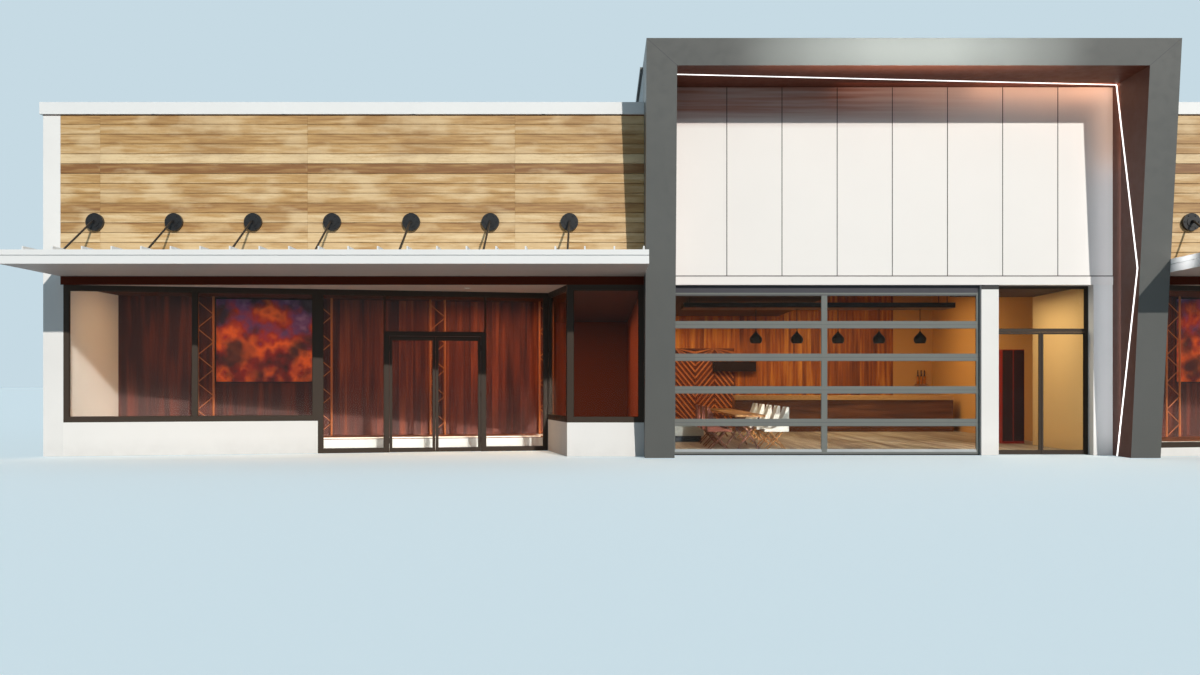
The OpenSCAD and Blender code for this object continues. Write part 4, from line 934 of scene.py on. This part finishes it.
cover_reach, cover_proud, wall_cap = 0.03, 0.0015, 0.34
coping_low, coping_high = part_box("left_coping")
cover_x = np.concatenate([side * np.arange(portal_edge + 1.9, 15.9, 2.45) for side in (-1, 1)])
covers = boxes(
    places(cover_x - cover_reach, coping_low.y - cover_proud, wall_top),
    places(cover_x + cover_reach, facade_y + wall_cap + cover_proud, coping_high.z + cover_proud))
put_piece("coping_covers", covers, "white_metal", "white_metal", bevel=0.001)

# %% [markdown]
# Bulbs and downlights are lathe shapes, like the bolts. The pale lens of a downlight sits in a slim white rim under
# the ceiling of the recess, in front of the doors.

# %% Bulbs and downlights
tip = 1e-4
arc = np.linspace(0, np.pi, 9)
bulb = 0.045 * np.stack([np.sin(arc), 1 - np.cos(arc)], axis=1) + [tip, 0.0]
bulbs = turned(bulb, 16, places(np.arange(5) - 1.81, facade_y + 6.4, 2.39), upward)
put_piece("pendant_bulbs", bulbs, "warm_bulb", "light_diffuser", smooth=True)

soffit_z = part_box("ceilings")[0].z
spot_t, spot_s = 7.52, -0.9
spots = [start + spot_t * along_splay + spot_s * into_room + soffit_z * upward for start in start_of.values()]
rim = [(0.05, 0.0), (0.066, 0.0), (0.064, 0.005), (0.052, 0.005), (0.05, 0.0)]
lens = [(tip, 0.0), (0.05, 0.0), (0.05, 0.003), (tip, 0.004)]
put_piece("downlight_rims", turned(rim, 24, spots, -upward), "white_metal", "white_metal")
put_piece("downlight_lenses", turned(lens, 24, spots, -upward), "opal_edge", "light_diffuser")

# %% [markdown]
# The last pieces are two cabinet fronts in the lobby and three plain bottles on a small shelf at the back.

# %% Cabinet doors and bottles
cabinet_x, cabinet_y = lobby_x - 0.5, facade_y + 4.0
doors = boxes(places(cabinet_x + np.array([0.012, 0.262]), cabinet_y - 0.018, 0.1),
              places(cabinet_x + np.array([0.238, 0.488]), cabinet_y, 2.125))
put_piece("cabinet_doors", doors, "cabinet_front", "counter_wood", bevel=0.002)

shelf_top = 1.375
shelf = boxes([3.93, wall_board - 0.13, 1.35], [4.29, wall_board, shelf_top])
put_piece("bottle_shelf", shelf, "table_timber", "counter_wood", bevel=0.003)
stands = places(np.array([4.01, 4.11, 4.21]), wall_board - 0.065, shelf_top)
belly = [(tip, 0.0), (0.034, 0.0), (0.037, 0.006), (0.037, 0.2), (0.033, 0.225)]
neck = [(0.033, 0.225), (0.016, 0.27), (0.013, 0.3), (0.013, 0.38), (0.016, 0.384), (0.016, 0.408), (tip, 0.41)]
put_piece("bottle_bodies", turned(belly, 20, stands, upward), "bottle_amber", "counter_wood", smooth=True)
put_piece("bottle_necks", turned(neck, 20, stands, upward), "black_metal", "black_metal", smooth=True)

# %% [markdown]
# The stage is a plain pale floor that catches the shadow. For the eye and for reflections it is pale, while the
# light that it throws back onto the building is that of a darker one, so shaded faces keep their depth. The sky
# works in the same way.

# %% Floor and sky
def seen_directly(tree):
    """1 for rays from the camera, off gloss or through glass, and 0 for the light that falls on rough surfaces."""
    paths = add(tree, "LightPath").outputs
    seen = calc(tree, "MAXIMUM", paths["Is Camera Ray"], paths["Is Glossy Ray"])
    return calc(tree, "MAXIMUM", seen, paths["Is Transmission Ray"])


tree = new_finish("ground")
lift = calc(tree, "MULTIPLY", seen_directly(tree), 0.29)
coat(tree, blend(tree, seen_directly(tree), screen(150, 152, 152), screen(230, 239, 243)), 0.8,
     Specular_IOR_Level=0.1, Emission_Color=screen(186, 210, 220), Emission_Strength=lift)
reach, ground_z = 400, -0.002
ground_mesh = bpy.data.meshes.new("ground")
corners = [(-reach, -reach, ground_z), (reach, -reach, ground_z), (reach, reach, ground_z), (-reach, reach, ground_z)]
ground_mesh.from_pydata(corners, [], [(0, 1, 2, 3)])
ground_mesh.materials.append(finishes["ground"])
new_object("ground", ground_mesh)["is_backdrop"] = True

world = bpy.data.worlds.new("sky")
bpy.context.scene.world = world
world.use_nodes = True
sky = world.node_tree
sky.nodes.clear()
dim = add(sky, "Background", {"Color": screen(164, 194, 212), "Strength": 0.52})
pale = add(sky, "Background", {"Color": screen(198, 218, 228), "Strength": 1.0})
both = add(sky, "MixShader", {0: seen_directly(sky), 1: dim.outputs[0], 2: pale.outputs[0]})
add(sky, "OutputWorld", {"Surface": both.outputs[0]})
print("floor and sky ready")

# %% [markdown]
# A low sun from the front draws the long shadows of the canopies and of the portal. Indoors, warm lamps near the
# ceilings give the rooms their glow. They are soft area lamps that shine down, each given by its place from the
# facade, its size and its power.

# %% Sun and room lamps
def aim(travel):
    """Turn for a lamp whose light travels along a direction."""
    return Vector(travel).to_track_quat("-Z", "Y").to_euler()


sun_data = bpy.data.lights.new("sun", "SUN")
sun_data.energy, sun_data.angle, sun_data.color = 2.85, math.radians(0.8), (1.0, 0.94, 0.86)
new_object("sun", sun_data).rotation_euler = aim((-0.37, 1.0, -0.456))


def lamp(name, x, behind, z, size, power, colour, travel=(0, 0, -1), fan=180):
    """A rectangular lamp so far behind the facade, which shines along one direction in a fan of so many degrees."""
    data = bpy.data.lights.new(name, "AREA")
    data.shape, data.size, data.size_y = "RECTANGLE", *size
    data.energy, data.color, data.spread = power, colour, math.radians(fan)
    made = new_object(name, data)
    made.location, made.rotation_euler = (x, facade_y + behind, z), aim(travel)
    made.visible_camera = made.visible_glossy = made.visible_transmission = False


amber, honey, cream = (1.0, 0.56, 0.24), (1.0, 0.8, 0.52), (1.0, 0.88, 0.68)
lamp("cafe_front_lamp", -1.5, 4.0, 3.15, (5.0, 3.0), 100, honey)
lamp("cafe_back_lamp", 0.6, 9.5, 3.9, (5.0, 3.0), 300, honey)
lamp("cafe_wash_lamp", -2.4, 11.6, 3.3, (3.8, 0.6), 90, honey)
lamp("lobby_lamp", 2.7, 2.1, 3.2, (0.8, 2.4), 50, cream)
for side, middle in (("left", -10.3), ("right", 10.3)):
    lamp(side + "_display_lamp", middle - 1.7, 1.9, 3.15, (5.0, 0.5), 60, amber)
    lamp(side + "_entry_lamp", middle + 3.2, 3.0, 3.15, (3.6, 0.5), 110, amber)
    lamp(side + "_shop_lamp", middle + 2.5, 8.0, 3.1, (5.0, 5.0), 160, amber)
    lamp(side + "_side_lamp", middle - 4.2, 1.3, 3.1, (1.0, 0.6), 8, amber, (-0.8, 0.1, -1.0))
print("lamps", len(bpy.data.lights))

# %% [markdown]
# The light strip under the portal's beam gives a peach glow that is strongest in the right corner. Long lamps that
# shine onto the panels from beside the strip, each stronger than the one to its left, give that fall from right
# to left, and an upright pair lights the corner beside the leg. Three narrow fans in front of the beam stand for
# the bright patch of sky that its middle mirrors, and a small one lights the end of the right canopy.

# %% Glow under and on the portal's beam
peach, pink, cool, day = (1.0, 0.46, 0.24), (1.0, 0.6, 0.4), (0.97, 0.97, 1.0), (0.94, 1.0, 0.97)
for number, (x, power) in enumerate(((0.2, 1.6), (2.0, 3.6), (3.2, 4.6)), 1):
    lamp("strip_glow_%d" % number, x, 0.05, beam_under - 0.05, (2.6, 0.1), power, peach, (0, 1.0, 0.1))
for name, z, length, power, colour in (("side", 2.9, 5.4, 5.4, cool), ("corner", 6.2, 1.4, 1.5, pink)):
    lamp("strip_glow_" + name, leg_inner - 0.06, -0.02, z, (0.1, length), power, colour, (-0.25, 1.0, 0))
for name, length, power in (("wide", 5.6, 30), ("middle", 3.8, 20), ("short", 2.0, 10)):
    lamp(name + "_beam_lamp", 0.0, -2.6, 5.9, (length, 0.12), power, day, (0, 0.68, 0.73), 37)
lamp("canopy_end_lamp", 3.2, -2.2, 3.7, (0.2, 0.2), 1.2, (1.0, 0.98, 0.96), (1.0, 0.55, -0.03), 30)
print("lamps", len(bpy.data.lights))

# %% Measure the visual box
low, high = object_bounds()
print("visual box", [round(v, 3) for v in (*low, *high)])
